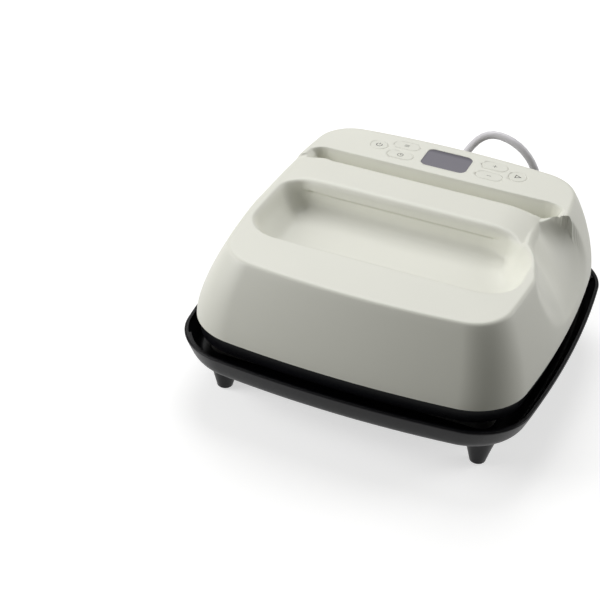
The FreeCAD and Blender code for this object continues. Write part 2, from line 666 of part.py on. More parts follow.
def make_skirt():
    """Black skirt: an upright wall that plugs into the shell and a deck that carries everything hot."""
    wall = skirt_prism(0, SKIRT_BOTTOM_Z, SKIRT_TOP_Z)
    low = skirt_prism(SKIRT_WALL, SKIRT_BOTTOM_Z - 1, SKIRT_DECK_Z)
    high = skirt_prism(SKIRT_WALL, SKIRT_FLOOR_TOP, SKIRT_TOP_Z + 1)
    posts = [drum(x, y, SKIRT_FLOOR_TOP, POWER_BOARD_Z, 3.0) for x, y in POWER_POSTS]
    drills = [drum(x, y, SKIRT_DECK_Z - 1, SKIRT_FLOOR_TOP + 1, 2.8) for x, y in PLATE_BOSSES]
    drills += [drum(x, y, SKIRT_DECK_Z - 1, SKIRT_FLOOR_TOP + 1, 2.0) for x, y in SHELL_BOSSES]
    drills += [drum(x, ELEMENT_REACH, SKIRT_DECK_Z - 1, SKIRT_FLOOR_TOP + 1, 3.5) for x in (-16, 16)]
    drills += [drum(x, y, SKIRT_FLOOR_TOP + 2, POWER_BOARD_Z + 1, 1.1) for x, y in POWER_POSTS]
    return wall.cut([low, high]).fuse(posts).cut(drills)


def make_shell_screws():
    """Eight screws that come up through the skirt's deck into the shell's bosses."""
    screws = []
    for x, y in SHELL_BOSSES:
        head = drum(x, y, SKIRT_DECK_Z - 2.2, SKIRT_DECK_Z, 3.2)
        screws.append(head.fuse(drum(x, y, SKIRT_DECK_Z, SKIRT_FLOOR_TOP + 16, 1.6)))
    return Part.makeCompound(screws)


def element_route():
    """Route of the heating element: a rounded square, open at the rear."""
    z = PLATE_Z + PLATE_THICK
    reach = ELEMENT_REACH
    return [V(-16, reach, z), V(-reach, reach, z), V(-reach, -reach, z),
            V(reach, -reach, z), V(reach, reach, z), V(16, reach, z)]


def make_heat_plate():
    """Aluminium heat plate with its element groove and screw bosses."""
    plate = rounded_slab(PLATE_SIZE, PLATE_SIZE, PLATE_CORNER, PLATE_Z, PLATE_Z + PLATE_THICK)
    plate = plate.makeFillet(PLATE_EDGE, edges_at(plate, PLATE_Z))
    top = PLATE_Z + PLATE_THICK
    bosses = [drum(x, y, top - 1, BOSS_TOP_Z, BOSS_RADIUS) for x, y in PLATE_BOSSES]
    groove = tube(element_route(), ELEMENT_DIAMETER + 0.2, ELEMENT_BEND)[0]
    ends = [drum(x, ELEMENT_REACH, top - 3.9, top + 4, ELEMENT_DIAMETER / 2 + 0.1) for x in (-16, 16)]
    drills = [drum(x, y, BOSS_TOP_Z - 9, BOSS_TOP_Z + 1, 2.4) for x, y in PLATE_BOSSES]
    return plate.fuse(bosses).cut([groove] + ends + drills)


def make_heating_element():
    """Tubular heating element, half sunk into the plate, with two upright terminals."""
    loop = tube(element_route(), ELEMENT_DIAMETER, ELEMENT_BEND)[0]
    top = PLATE_Z + PLATE_THICK
    terminals = [drum(x, ELEMENT_REACH, top, SKIRT_FLOOR_TOP + 5, 2.0) for x in (-16, 16)]
    balls = [Part.makeSphere(ELEMENT_DIAMETER / 2, V(x, ELEMENT_REACH, top)) for x in (-16, 16)]
    return loop.fuse(balls + terminals)


def make_standoffs():
    """Eight sleeves that keep the shield off the plate's bosses."""
    top = BOSS_TOP_Z + BLANKET_THICK
    sleeves = []
    for x, y in PLATE_BOSSES:
        bore = drum(x, y, BOSS_TOP_Z - 1, top + 1, 2.6)
        sleeves.append(drum(x, y, BOSS_TOP_Z, top, 4.4).cut(bore))
    return Part.makeCompound(sleeves)


def make_blanket():
    """Insulating blanket between the plate and the shield."""
    top = BOSS_TOP_Z + BLANKET_THICK
    blanket = rounded_slab(BLANKET_SIZE, BLANKET_SIZE, 8, BOSS_TOP_Z, top - 0.2)
    holes = [drum(x, y, BOSS_TOP_Z - 1, top + 1, 4.8) for x, y in PLATE_BOSSES]
    holes += [drum(x, ELEMENT_REACH, BOSS_TOP_Z - 1, top + 1, 3.5) for x in (-16, 16)]
    holes += [drum(0, 0, BOSS_TOP_Z - 1, top + 1, CUTOUT_RADIUS + 1)]
    return blanket.cut(holes)


def make_shield():
    """Sheet steel shield with a folded rim over the blanket."""
    base = BOSS_TOP_Z + BLANKET_THICK
    pan = rounded_slab(SHIELD_SIZE, SHIELD_SIZE, 10, base - SHIELD_FLANGE, base + SHIELD_THICK)
    room = SHIELD_SIZE - 2 * SHIELD_THICK
    pan = pan.cut(rounded_slab(room, room, 9, base - SHIELD_FLANGE - 1, base))
    holes = [drum(x, y, base - 1, base + 3, 2.8) for x, y in PLATE_BOSSES]
    holes += [drum(x, ELEMENT_REACH, base - 1, base + 3, 3.5) for x in (-16, 16)]
    return pan.cut(holes)


def make_plate_screws():
    """Eight screws that hang the plate from the skirt's deck."""
    screws = []
    for x, y in PLATE_BOSSES:
        head = drum(x, y, SKIRT_FLOOR_TOP, SKIRT_FLOOR_TOP + 2.8, 4.4)
        screws.append(head.fuse(drum(x, y, BOSS_TOP_Z - 8, SKIRT_FLOOR_TOP + 1, 2.3)))
    return Part.makeCompound(screws)


def make_thermal_cutout():
    """Round thermal cut-out on the middle of the plate."""
    top = PLATE_Z + PLATE_THICK
    cap = drum(0, 0, top, top + 3.5, CUTOUT_RADIUS)
    return cap.fuse([drum(0, 0, top + 3.4, top + 7.5, 6.5), box(-6.4, 6.4, -2.6, 2.6, top + 7.4, top + 8.4)])


def make_sensor():
    """Temperature sensor in a clip on the plate."""
    top = PLATE_Z + PLATE_THICK
    body = Part.makeCylinder(2.0, SENSOR_LENGTH, V(-SENSOR_LENGTH / 2, -30, top + 2.0), V(1, 0, 0))
    clip = box(-4, 4, -36, -24, top, top + 1.0)
    bridge = box(-3, 3, -32.5, -27.5, top, top + 3.2)
    return body.fuse([clip, bridge])


def make_power_board():
    """Mains board with transformer, capacitors and terminals on four posts."""
    z = POWER_BOARD_Z
    x, y = POWER_BOARD_X, POWER_BOARD_Y
    half_w, half_d = POWER_BOARD_WIDTH / 2, POWER_BOARD_DEPTH / 2
    board = box(x - half_w, x + half_w, y - half_d, y + half_d, z, z + BOARD_THICK)
    top = z + BOARD_THICK
    left = x - half_w + 2.4 * BOARD_BOSS_IN
    right, deep = left + TRANSFORMER_WIDTH, TRANSFORMER_DEPTH / 2
    core = box(left, right, y - deep, y + deep, top, top + TRANSFORMER_HEIGHT)
    windings = box(left + 4, right - 4, y - deep - 5, y + deep + 5, top + 3, top + TRANSFORMER_HEIGHT - 3)
    cans = [drum(right + 2.3 * CAPACITOR_RADIUS * k, y - deep, top, top + CAPACITOR_HEIGHT, CAPACITOR_RADIUS)
            for k in (1, 2)]
    rear = y + half_d - 3
    terminal = box(TERMINAL_X - TERMINAL_WIDTH / 2, TERMINAL_X + TERMINAL_WIDTH / 2,
                   rear - TERMINAL_DEPTH, rear,
                   top, top + TERMINAL_HEIGHT)
    holes = [drum(px, py, z - 1, z + 3, 1.5) for px, py in POWER_POSTS]
    return board.fuse([core, windings, terminal] + cans).cut(holes)


def make_power_screws():
    """Four screws that hold the mains board."""
    top = POWER_BOARD_Z + BOARD_THICK
    screws = []
    for x, y in POWER_POSTS:
        screws.append(drum(x, y, top, top + 1.8, 2.4).fuse(drum(x, y, top - 6, top + 0.5, 1.05)))
    return Part.makeCompound(screws)


def make_relay():
    """Relay that switches the element."""
    top = POWER_BOARD_Z + BOARD_THICK
    x = POWER_BOARD_X + POWER_BOARD_WIDTH / 2 - RELAY_WIDTH
    front = POWER_BOARD_Y - POWER_BOARD_DEPTH / 2 + 2 * BOARD_BOSS_IN
    case = box(x - RELAY_WIDTH / 2, x + RELAY_WIDTH / 2, front, front + RELAY_DEPTH, top, top + RELAY_HEIGHT)
    return case.makeFillet(1.0, upright_edges(case))


# ---------------------------------------------------------------- cord


def gland_tip():
    """Point where the cord leaves the strain relief."""
    return GLAND_BASE + GLAND_AIM * GLAND_LENGTH


def cord_points():
    """Route of the cord from the strain relief to the coil."""
    tip = gland_tip()
    return [tip, tip + GLAND_AIM * CORD_LEAD] + list(CORD_ROUTE)


def make_strain_relief():
    """Tapered strain relief with grooves and a collar behind the shell's wall."""
    boot = Part.makeCone(GLAND_ROOT_RADIUS, GLAND_TIP_RADIUS, GLAND_LENGTH, GLAND_BASE, GLAND_AIM)
    neck = Part.makeCylinder(GLAND_ROOT_RADIUS, GLAND_NECK, GLAND_BASE - GLAND_AIM * GLAND_NECK, GLAND_AIM)
    collar = Part.makeCylinder(GLAND_COLLAR_RADIUS, 2.2, GLAND_BASE - GLAND_AIM * GLAND_NECK, GLAND_AIM)
    grooves = []
    for k in range(4):
        at = 4.0 + 4.2 * k
        radius = GLAND_ROOT_RADIUS + (GLAND_TIP_RADIUS - GLAND_ROOT_RADIUS) * at / GLAND_LENGTH
        place = GLAND_BASE + GLAND_AIM * at
        ring = Part.makeCylinder(radius + 2, 1.6, place, GLAND_AIM)
        grooves.append(ring.cut(Part.makeCylinder(radius - 1.1, 1.6, place, GLAND_AIM)))
    return boot.fuse([neck, collar]).cut(grooves)


def make_inner_lead():
    """Last stretch of the cord inside the shell, from the strain relief down to the mains board."""
    start = GLAND_BASE - GLAND_AIM * (GLAND_NECK + 0.1)
    turn = start - GLAND_AIM * 10
    rear = POWER_BOARD_Y + POWER_BOARD_DEPTH / 2 - 3
    end = V(TERMINAL_X, rear + 4.8, POWER_BOARD_Z + BOARD_THICK + TERMINAL_HEIGHT / 2)
    return tube([start, turn, end], CORD_DIAMETER, 6.0)[0]


def make_coil(cord):
    """Outer form of the coiled rest of the cord, with the straight end that leads to the plug."""
    half = CORD_DIAMETER / 2
    inner = COIL_OUTER_TURN - (COIL_COLUMNS - 1) * CORD_DIAMETER - half
    rings = []
    for layer in (0, 1):
        outer = COIL_OUTER_TURN - layer * CORD_DIAMETER + half
        low, high = layer * CORD_DIAMETER, (layer + 1) * CORD_DIAMETER
        disc = drum(COIL_X, COIL_Y, low, high, outer)
        disc = disc.makeFillet(0.8 * half, edges_at(disc, high))
        rings.append(disc.cut(drum(COIL_X, COIL_Y, low - 1, high + 1, inner)))
    tail = Part.makeCylinder(half, TAIL_LENGTH, tail_end(), V(0, 1, 0))
    return rings[0].fuse([rings[1], tail]).cut(cord)


def tail_end():
    """Point where the coiled cord reaches the plug."""
    return V(COIL_X - COIL_OUTER_TURN + CORD_DIAMETER, COIL_Y - TAIL_LENGTH, PLUG_HEIGHT / 2)


def make_plug():
    """Moulded plug body with a ribbed neck."""
    end = tail_end()
    body = box(end.x - PLUG_WIDTH / 2, end.x + PLUG_WIDTH / 2,
               end.y - PLUG_NECK - PLUG_LENGTH, end.y - PLUG_NECK,
               0, PLUG_HEIGHT)
    body = body.makeFillet(4.0, [e for e in body.Edges if abs(e.Vertexes[0].Y - e.Vertexes[-1].Y) > 5])
    neck = Part.makeCone(7.5, 5.2, PLUG_NECK, V(end.x, end.y - PLUG_NECK, end.z), V(0, 1, 0))
    grooves = []
    for k in range(3):
        place = V(end.x, end.y - PLUG_NECK + 2.5 + 3.2 * k, end.z)
        ring = Part.makeCylinder(9, 1.3, place, V(0, 1, 0))
        grooves.append(ring.cut(Part.makeCylinder(5.2, 1.3, place, V(0, 1, 0))))
    return body.fuse(neck).cut(grooves)


def plug_face():
    """Middle of the plug's front face."""
    end = tail_end()
    return V(end.x, end.y - PLUG_NECK - PLUG_LENGTH, end.z)


def make_blades():
    """Two flat blades and the round earth pin."""
    face = plug_face()
    blades = []
    for side in (-1, 1):
        x = face.x + side * BLADE_SPREAD / 2
        blades.append(box(x - BLADE_THICK / 2, x + BLADE_THICK / 2, face.y - BLADE_LENGTH, face.y,
                          face.z - 1 - BLADE_WIDTH / 2, face.z - 1 + BLADE_WIDTH / 2))
    root = V(face.x, face.y, face.z + 6.6)
    straight = EARTH_PIN_LENGTH - EARTH_PIN_RADIUS
    pin = Part.makeCylinder(EARTH_PIN_RADIUS, straight, root, V(0, -1, 0))
    ball = Part.makeSphere(EARTH_PIN_RADIUS, root - V(0, straight, 0))
    return Part.makeCompound(blades + [pin.fuse(ball)])


# ---------------------------------------------------------------- safety base


def make_leg(x, y):
    """One leg: a rounded tip that sweeps out into the tray's underside."""
    tip_z = FOOT_PAD_PROUD
    foot = 1.8
    join_z = TRAY_UNDER_Z + TRAY_FLOOR / 2
    waist = V(FOOT_WAIST, 0, 0.46 * join_z)
    profile = [
        Part.LineSegment(V(0, 0, tip_z), V(FOOT_TIP - foot, 0, tip_z)).toShape(),
        Part.Arc(V(FOOT_TIP - foot, 0, tip_z), V(FOOT_TIP - foot * 0.293, 0, tip_z + foot * 0.293),
                 V(FOOT_TIP, 0, tip_z + foot)).toShape(),
        Part.Arc(V(FOOT_TIP, 0, tip_z + foot), waist, V(FOOT_TOP, 0, join_z)).toShape(),
        Part.LineSegment(V(FOOT_TOP, 0, join_z), V(0, 0, join_z)).toShape(),
        Part.LineSegment(V(0, 0, join_z), V(0, 0, tip_z)).toShape(),
    ]
    leg = Part.Face(Part.Wire(profile)).revolve(V(0, 0, 0), UP, 360)
    leg.translate(V(x, y, 0))
    return leg


def tray_form(inset, under, top, edge):
    """Tray form up to a height: a leaning wall, moved in by inset, over a rounded lower edge."""
    sections = []
    rise = TRAY_RIM_Z - TRAY_UNDER_Z
    climb = top - under
    for height in (0.0, 0.04 * edge, 0.16 * edge, 0.4 * edge, edge, (edge + climb) / 2, climb):
        z = under + height
        below = max(TRAY_RIM_Z - z, 0.0) / rise
        rounding = edge - math.sqrt(edge ** 2 - (edge - min(height, edge)) ** 2)
        lean = TRAY_DRAFT * below ** 1.16 + inset + rounding
        sections.append(bowed_outline(TRAY_WIDTH - 2 * lean, TRAY_DEPTH - 2 * lean, TRAY_CORNER - lean * 0.6,
                                      TRAY_BOW, TRAY_BOW, z))
    return Part.makeLoft(sections, True, False)


def make_tray():
    """Black safety base: an open tray with four legs and four corner locators."""
    outer = tray_form(0.0, TRAY_UNDER_Z, TRAY_RIM_Z, TRAY_EDGE)
    outer = outer.makeFillet(TRAY_RIM_ROUND, edges_at(outer, TRAY_RIM_Z))
    inner = tray_form(TRAY_WALL, TRAY_FLOOR_TOP, TRAY_RIM_Z + 2, TRAY_EDGE - TRAY_FLOOR)
    tray = outer.cut(inner)
    legs = [make_leg(x, y) for x, y in FEET]
    sockets = [drum(x, y, -1, FOOT_PAD_THICK, FOOT_PAD + 0.1) for x, y in FEET]
    return tray.fuse(legs + corner_locators(outer)).cut(sockets)


def corner_locators(outer):
    """Four upright arcs that centre the press in the tray."""
    centre_x = SKIRT_WIDTH / 2 - SKIRT_CORNER
    centre_y = SKIRT_DEPTH / 2 - SKIRT_CORNER
    inner_radius = SKIRT_CORNER + 1.2
    found = []
    for sx, sy in SIGNS:
        x, y = sx * centre_x, sy * centre_y
        ring = drum(x, y, TRAY_FLOOR_TOP - 0.5, LOCATOR_TOP_Z, inner_radius + LOCATOR_THICK)
        ring = ring.cut(drum(x, y, TRAY_FLOOR_TOP - 1, LOCATOR_TOP_Z + 1, inner_radius))
        corners = ((x, y), (x + sx * 70, y + sy * 40), (x + sx * 70, y + sy * 70), (x + sx * 40, y + sy * 70))
        wedge = polygon_prism(corners, TRAY_FLOOR_TOP - 1, LOCATOR_TOP_Z + 1)
        found.append(ring.common(wedge).common(outer))
    return found


def make_rest_pads():
    """Four heat-proof pads that the plate rests on."""
    pads = []
    for sx, sy in SIGNS:
        pads.append(rounded_slab(PAD_SIZE, PAD_SIZE, 4, TRAY_FLOOR_TOP, PLATE_Z,
                                 sx * PAD_REACH, sy * PAD_REACH))
    return Part.makeCompound(pads)


def make_foot_pads():
    """Four rubber discs in the leg tips."""
    return Part.makeCompound([drum(x, y, 0, FOOT_PAD_THICK, FOOT_PAD) for x, y in FEET])


# ---------------------------------------------------------------- everything together


def main():
    """Build every piece and write one file for each."""
    cord, radii, length = tube(cord_points(), CORD_DIAMETER)
    print("cord run", round(length, 1), "radii", [round(r, 1) for r in radii])
    section = math.pi * CORD_DIAMETER ** 2 / 4
    print("cord volume over section times length", round(cord.Volume / (section * length), 4))
    pieces = {
        "base_tray": make_tray(),
        "foot_pads": make_foot_pads(),
        "rest_pads": make_rest_pads(),
        "upper_shell": make_upper_shell(),
        "handle_body": make_handle_body(),
        "handle_cover": make_handle_cover(),
        "handle_screws": make_handle_screws(),
        "display_lens": make_lens(),
        "display_module": make_display(),
        "control_board": make_control_board(),
        "push_switches": make_switches(),
        "board_screws": make_board_screws(),
        "buzzer": make_buzzer(),
        "skirt": make_skirt(),
        "shell_screws": make_shell_screws(),
        "heat_plate": make_heat_plate(),
        "heating_element": make_heating_element(),
        "plate_standoffs": make_standoffs(),
        "insulation_blanket": make_blanket(),
        "heat_shield": make_shield(),
        "plate_screws": make_plate_screws(),
        "thermal_cutout": make_thermal_cutout(),
        "temperature_sensor": make_sensor(),
        "power_board": make_power_board(),
        "power_board_screws": make_power_screws(),
        "relay": make_relay(),
        "strain_relief": make_strain_relief(),
        "inner_lead": make_inner_lead(),
        "cord": cord,
        "cord_coil": make_coil(cord),
        "plug_body": make_plug(),
        "plug_blades": make_blades(),
    }
    for name, (x, y) in ROUNDS.items():
        pieces[name] = make_button(x, y, False)
    for name, (x, y) in PILLS.items():
        pieces[name] = make_button(x, y, True)
    os.makedirs("parts", exist_ok=True)
    for name, shape in pieces.items():
        state = "valid" if shape.isValid() else "NOT VALID"
        print(name, state, "solids", len(shape.Solids), round(shape.Volume, 1))
        shape.exportStep("parts/" + name + ".step")


main()
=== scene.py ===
"""Looks for a square household heat press in its black safety base.

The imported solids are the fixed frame.  This file dresses each of them, rebuilds the housing as one
moulded skin and the mains cord as one flexible lead, adds the printed signs on the keys, and sets up
a studio with the camera.  Lengths are in metres unless a name ends in _mm; the classes of the upper
housing count in millimetres.
"""

import json
import logging
import math
from dataclasses import dataclass, field
from enum import Enum
from typing import Iterable, Sequence

import bmesh
import bpy
from mathutils import Matrix, Vector

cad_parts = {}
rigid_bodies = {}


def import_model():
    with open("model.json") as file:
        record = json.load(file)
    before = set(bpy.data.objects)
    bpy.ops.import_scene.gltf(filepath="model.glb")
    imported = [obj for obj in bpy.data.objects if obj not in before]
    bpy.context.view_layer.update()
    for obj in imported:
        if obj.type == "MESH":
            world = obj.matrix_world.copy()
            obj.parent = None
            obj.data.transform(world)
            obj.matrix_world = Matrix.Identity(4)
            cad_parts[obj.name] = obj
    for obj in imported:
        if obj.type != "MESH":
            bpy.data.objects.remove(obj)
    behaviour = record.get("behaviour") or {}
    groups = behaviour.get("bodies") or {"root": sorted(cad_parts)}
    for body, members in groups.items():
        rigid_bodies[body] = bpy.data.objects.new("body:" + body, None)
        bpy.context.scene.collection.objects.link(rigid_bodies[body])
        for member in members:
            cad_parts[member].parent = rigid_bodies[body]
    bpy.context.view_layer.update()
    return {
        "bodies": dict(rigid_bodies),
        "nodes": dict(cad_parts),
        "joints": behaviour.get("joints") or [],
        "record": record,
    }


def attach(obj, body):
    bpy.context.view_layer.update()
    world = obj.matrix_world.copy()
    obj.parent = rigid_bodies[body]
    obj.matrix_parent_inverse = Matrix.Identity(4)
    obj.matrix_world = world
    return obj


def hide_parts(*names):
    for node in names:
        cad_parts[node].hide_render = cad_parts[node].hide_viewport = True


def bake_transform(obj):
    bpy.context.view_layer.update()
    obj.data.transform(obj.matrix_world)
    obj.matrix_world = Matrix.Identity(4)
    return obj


LOG = logging.getLogger("heat_press")
Mesh = bmesh.types.BMesh
Node = bpy.types.Node
Piece = bpy.types.Object
Socket = bpy.types.NodeSocket
Tree = bpy.types.NodeTree
Pair = tuple[float, float]
Triple = tuple[float, float, float]
Colour = tuple[float, float, float, float]

MM = 0.001
WELD = 1e-7
DECK_HEIGHT_MM = 129.8
DECK_SLOPE = 0.03
KEY_TOP_MM = 0.25
PRINT_MM = 0.03
POWER_KEY_MM = (-60.0, 97.5)
TEMPERATURE_KEY_MM = (-38.5, 106.0)
TIMER_KEY_MM = (-38.5, 89.5)
PLUS_KEY_MM = (37.5, 107.0)
MINUS_KEY_MM = (37.5, 90.5)
START_KEY_MM = (59.0, 99.5)
WINDOW_MM = (-1.0, 98.0)


# ---------------- shader helpers


def linear(hex_colour: str) -> Colour:
    """Turn an sRGB hex colour into a linear RGBA value.

    Args:
        hex_colour: Six hex digits, with or without a leading #.

    Returns:
        Linear red, green, blue and an alpha of 1.
    """
    digits = hex_colour.lstrip("#")
    parts = [int(digits[i:i + 2], 16) / 255 for i in (0, 2, 4)]
    red, green, blue = [c / 12.92 if c <= 0.04045 else ((c + 0.055) / 1.055) ** 2.4 for c in parts]
    return red, green, blue, 1.0


def add(tree: Tree, kind: str, settings: dict | None = None, **inputs: object) -> Node:
    """Add one node, set its properties and fill or link its inputs.

    Args:
        tree: Node tree that gets the node.
        kind: Blender's node type name, without the ShaderNode that they all start with.
        settings: Properties to set on the node itself.
        **inputs: Input values by socket name, with _ for a space; a socket is linked, and a name
            that starts with i and digits picks an input by its number.

    Returns:
        The new node.
    """
    node = tree.nodes.new("ShaderNode" + kind)
    for name, value in (settings or {}).items():
        setattr(node, name, value)
    for name, value in inputs.items():
        numbered = name[0] == "i" and name[1:].isdigit()
        socket = node.inputs[int(name[1:])] if numbered else node.inputs[name.replace("_", " ")]
        if isinstance(value, Socket):
            tree.links.new(value, socket)
        else:
            socket.default_value = value
    return node


def ramp(tree: Tree, fac: Socket, stops: Sequence[tuple[float, tuple]]) -> Socket:
    """Colour ramp through the given stops.

    Args:
        tree: Node tree that gets the ramp.
        fac: Socket that drives it.
        stops: Position and linear colour of each stop, in order.

    Returns:
        The ramp's colour socket.
    """
    node = add(tree, "ValToRGB", Fac=fac)
    elements = node.color_ramp.elements
    while len(elements) < len(stops):
        elements.new(0.5)
    for element, (place, colour) in zip(elements, stops):
        element.position = place
        element.color = colour
    return node.outputs["Color"]


def mixed(tree: Tree, share: Socket | float, first: Socket, second: Socket | Colour) -> Socket:
    """Mix two colours: the first at share 0, the second at share 1."""
    return add(tree, "Mix", {"data_type": "RGBA"}, i0=share, i6=first, i7=second).outputs[2]


def empty_tree(owner: bpy.types.Material | bpy.types.World) -> Tree:
    """Turn on a material's or world's nodes and clear them."""
    owner.use_nodes = True
    owner.node_tree.nodes.clear()
    return owner.node_tree


@dataclass(frozen=True)
class Finish:
    """A surface finish: what it is made of and how it was made."""

    name: str
    colour: str
    roughness: float
    ior: float = 1.5
    metallic: float = 0.0
    grain_mm: float = 0.6
    grain_depth_mm: float = 0.02
    mottle: float = 0.03
    mottle_mm: float = 24.0
    roughness_spread: float = 0.06
    sheen: float = 0.0
    specular: float = 0.5
    noise_low: float = 0.3
    noise_high: float = 0.7

    def build(self) -> bpy.types.Material:
        """Make the Blender material.

        Returns:
            A material that reads Object coordinates only.
        """
        material = bpy.data.materials.new(self.name)
        tree = empty_tree(material)
        place = add(tree, "TexCoord").outputs["Object"]
        fine = add(tree, "TexNoise", Vector=place, Scale=1 / (self.grain_mm * MM), Detail=3.0,
                   Roughness=0.6)
        broad = add(tree, "TexNoise", Vector=place, Scale=1 / (self.mottle_mm * MM), Detail=2.0)
        base = linear(self.colour)
        low = tuple(c * (1 - self.mottle) for c in base[:3]) + (1.0,)
        high = tuple(min(c * (1 + self.mottle), 1.0) for c in base[:3]) + (1.0,)
        colour = ramp(tree, broad.outputs["Fac"], [(self.noise_low, low), (self.noise_high, high)])
        rough = add(tree, "MapRange", Value=fine.outputs["Fac"], From_Min=self.noise_low,
                    From_Max=self.noise_high, To_Min=self.roughness - self.roughness_spread,
                    To_Max=self.roughness + self.roughness_spread)
        bump = add(tree, "Bump", Height=self.relief(tree, place, fine), Strength=1.0,
                   Distance=self.grain_depth_mm * MM)
        shader = add(tree, "BsdfPrincipled", Base_Color=self.tint(tree, place, colour),
                     IOR=self.ior, Metallic=self.metallic, Roughness=rough.outputs["Result"],
                     Normal=bump.outputs["Normal"], Sheen_Weight=self.sheen, Specular_IOR_Level=self.specular)
        add(tree, "OutputMaterial", Surface=shader.outputs["BSDF"])
        return material

    def relief(self, tree: Tree, place: Socket, fine: Node) -> Socket:
        """Height pattern of the surface: by default the fine grain."""
        return fine.outputs["Fac"]

    def tint(self, tree: Tree, place: Socket, colour: Socket) -> Socket:
        """Colour of the surface: by default the mottled base colour."""
        return colour


@dataclass(frozen=True)
class SparkErodedAbs(Finish):
    """Off-white ABS from a spark-eroded mould: an even satin with a very fine orange peel."""

    swell_mm: float = 3.2

    def relief(self, tree: Tree, place: Socket, fine: Node) -> Socket:
        """Fine pits with a slow swell under them, as the mould's skin leaves."""
        swell = add(tree, "TexNoise", Vector=place, Scale=1 / (self.swell_mm * MM), Detail=1.0)
        both = add(tree, "Math", {"operation": "ADD"}, i0=fine.outputs["Fac"], i1=swell.outputs["Fac"])
        return both.outputs[0]


@dataclass(frozen=True)
class GlassFilledNylon(Finish):
    """Black glass-filled nylon: satin black, softly mottled, with a speckle of fibre."""

    fibre_mm: float = 1.1
    fibre_colour: str = "2A2A30"

    def tint(self, tree: Tree, place: Socket, colour: Socket) -> Socket:
        """Scatter a few paler fibre ends over the black."""
        speck = add(tree, "TexVoronoi", Vector=place, Scale=1 / (self.fibre_mm * MM))
        mask = add(tree, "MapRange", Value=speck.outputs["Distance"], From_Min=0.05, From_Max=0.12,
                   To_Min=0.5, To_Max=0.0)
        return mixed(tree, mask.outputs["Result"], colour, linear(self.fibre_colour))


@dataclass(frozen=True)
class BrushedMetal(Finish):
    """Metal with fine drawn lines along one axis."""

    metallic: float = 1.0
    breaks_per_metre: float = 50.0
    lines_per_metre: float = 6000.0

    def relief(self, tree: Tree, place: Socket, fine: Node) -> Socket:
        """Long thin scratches along X."""
        density = (self.breaks_per_metre, self.lines_per_metre, self.lines_per_metre)
        turned = add(tree, "Mapping", Vector=place, Scale=density)
        lines = add(tree, "TexNoise", Vector=turned.outputs["Vector"], Scale=1.0, Detail=2.0)
        return lines.outputs["Fac"]


@dataclass(frozen=True)
class NeedledFibre(Finish):
    """Needled glass fibre felt: soft, matt and hairy."""

    tangle_mm: float = 1.4

    def relief(self, tree: Tree, place: Socket, fine: Node) -> Socket:
        """Strands that cross in small tangles."""
        strands = add(tree, "TexVoronoi", {"feature": "DISTANCE_TO_EDGE"}, Vector=place,
                      Scale=1 / (self.tangle_mm * MM))
        return strands.outputs["Distance"]


@dataclass(frozen=True)
class BoardLaminate(Finish):
    """Green solder mask over copper: glossy, with the tracks showing through."""

    pattern_mm: float = 5.0
    track_share: float = 0.6

    def tint(self, tree: Tree, place: Socket, colour: Socket) -> Socket:
        """Paler tracks in a staggered grid, laid over the mottled mask."""
        bricks = add(tree, "TexBrick", {"offset": 0.5}, Vector=place,
                     Scale=1 / (self.pattern_mm * MM), Mortar_Size=0.06,
                     Color1=linear("12401F"), Color2=linear("164A26"), Mortar=linear("2F7A40"))
        return mixed(tree, self.track_share, colour, bricks.outputs["Color"])


@dataclass(frozen=True)
class CordJacket(Finish):
    """Soft grey PVC jacket, extruded: satin and nearly even."""


@dataclass(frozen=True)
class SmokedWindow(Finish):
    """Grey-tinted acrylic window over an unlit display: a flat violet grey under a clear gloss."""

    border_from: float = 0.106
    border_to: float = 0.1115
    border_share: float = 0.75
    border_colour: str = "55535C"

    def tint(self, tree: Tree, place: Socket, colour: Socket) -> Socket:
        """Slightly darker towards its rear edge, where the window's back is masked."""
        split = add(tree, "SeparateXYZ", Vector=place)
        far = add(tree, "MapRange", Value=split.outputs["Y"], From_Min=self.border_from,
                  From_Max=self.border_to, To_Min=0.0, To_Max=self.border_share)
        return mixed(tree, far.outputs["Result"], colour, linear(self.border_colour))


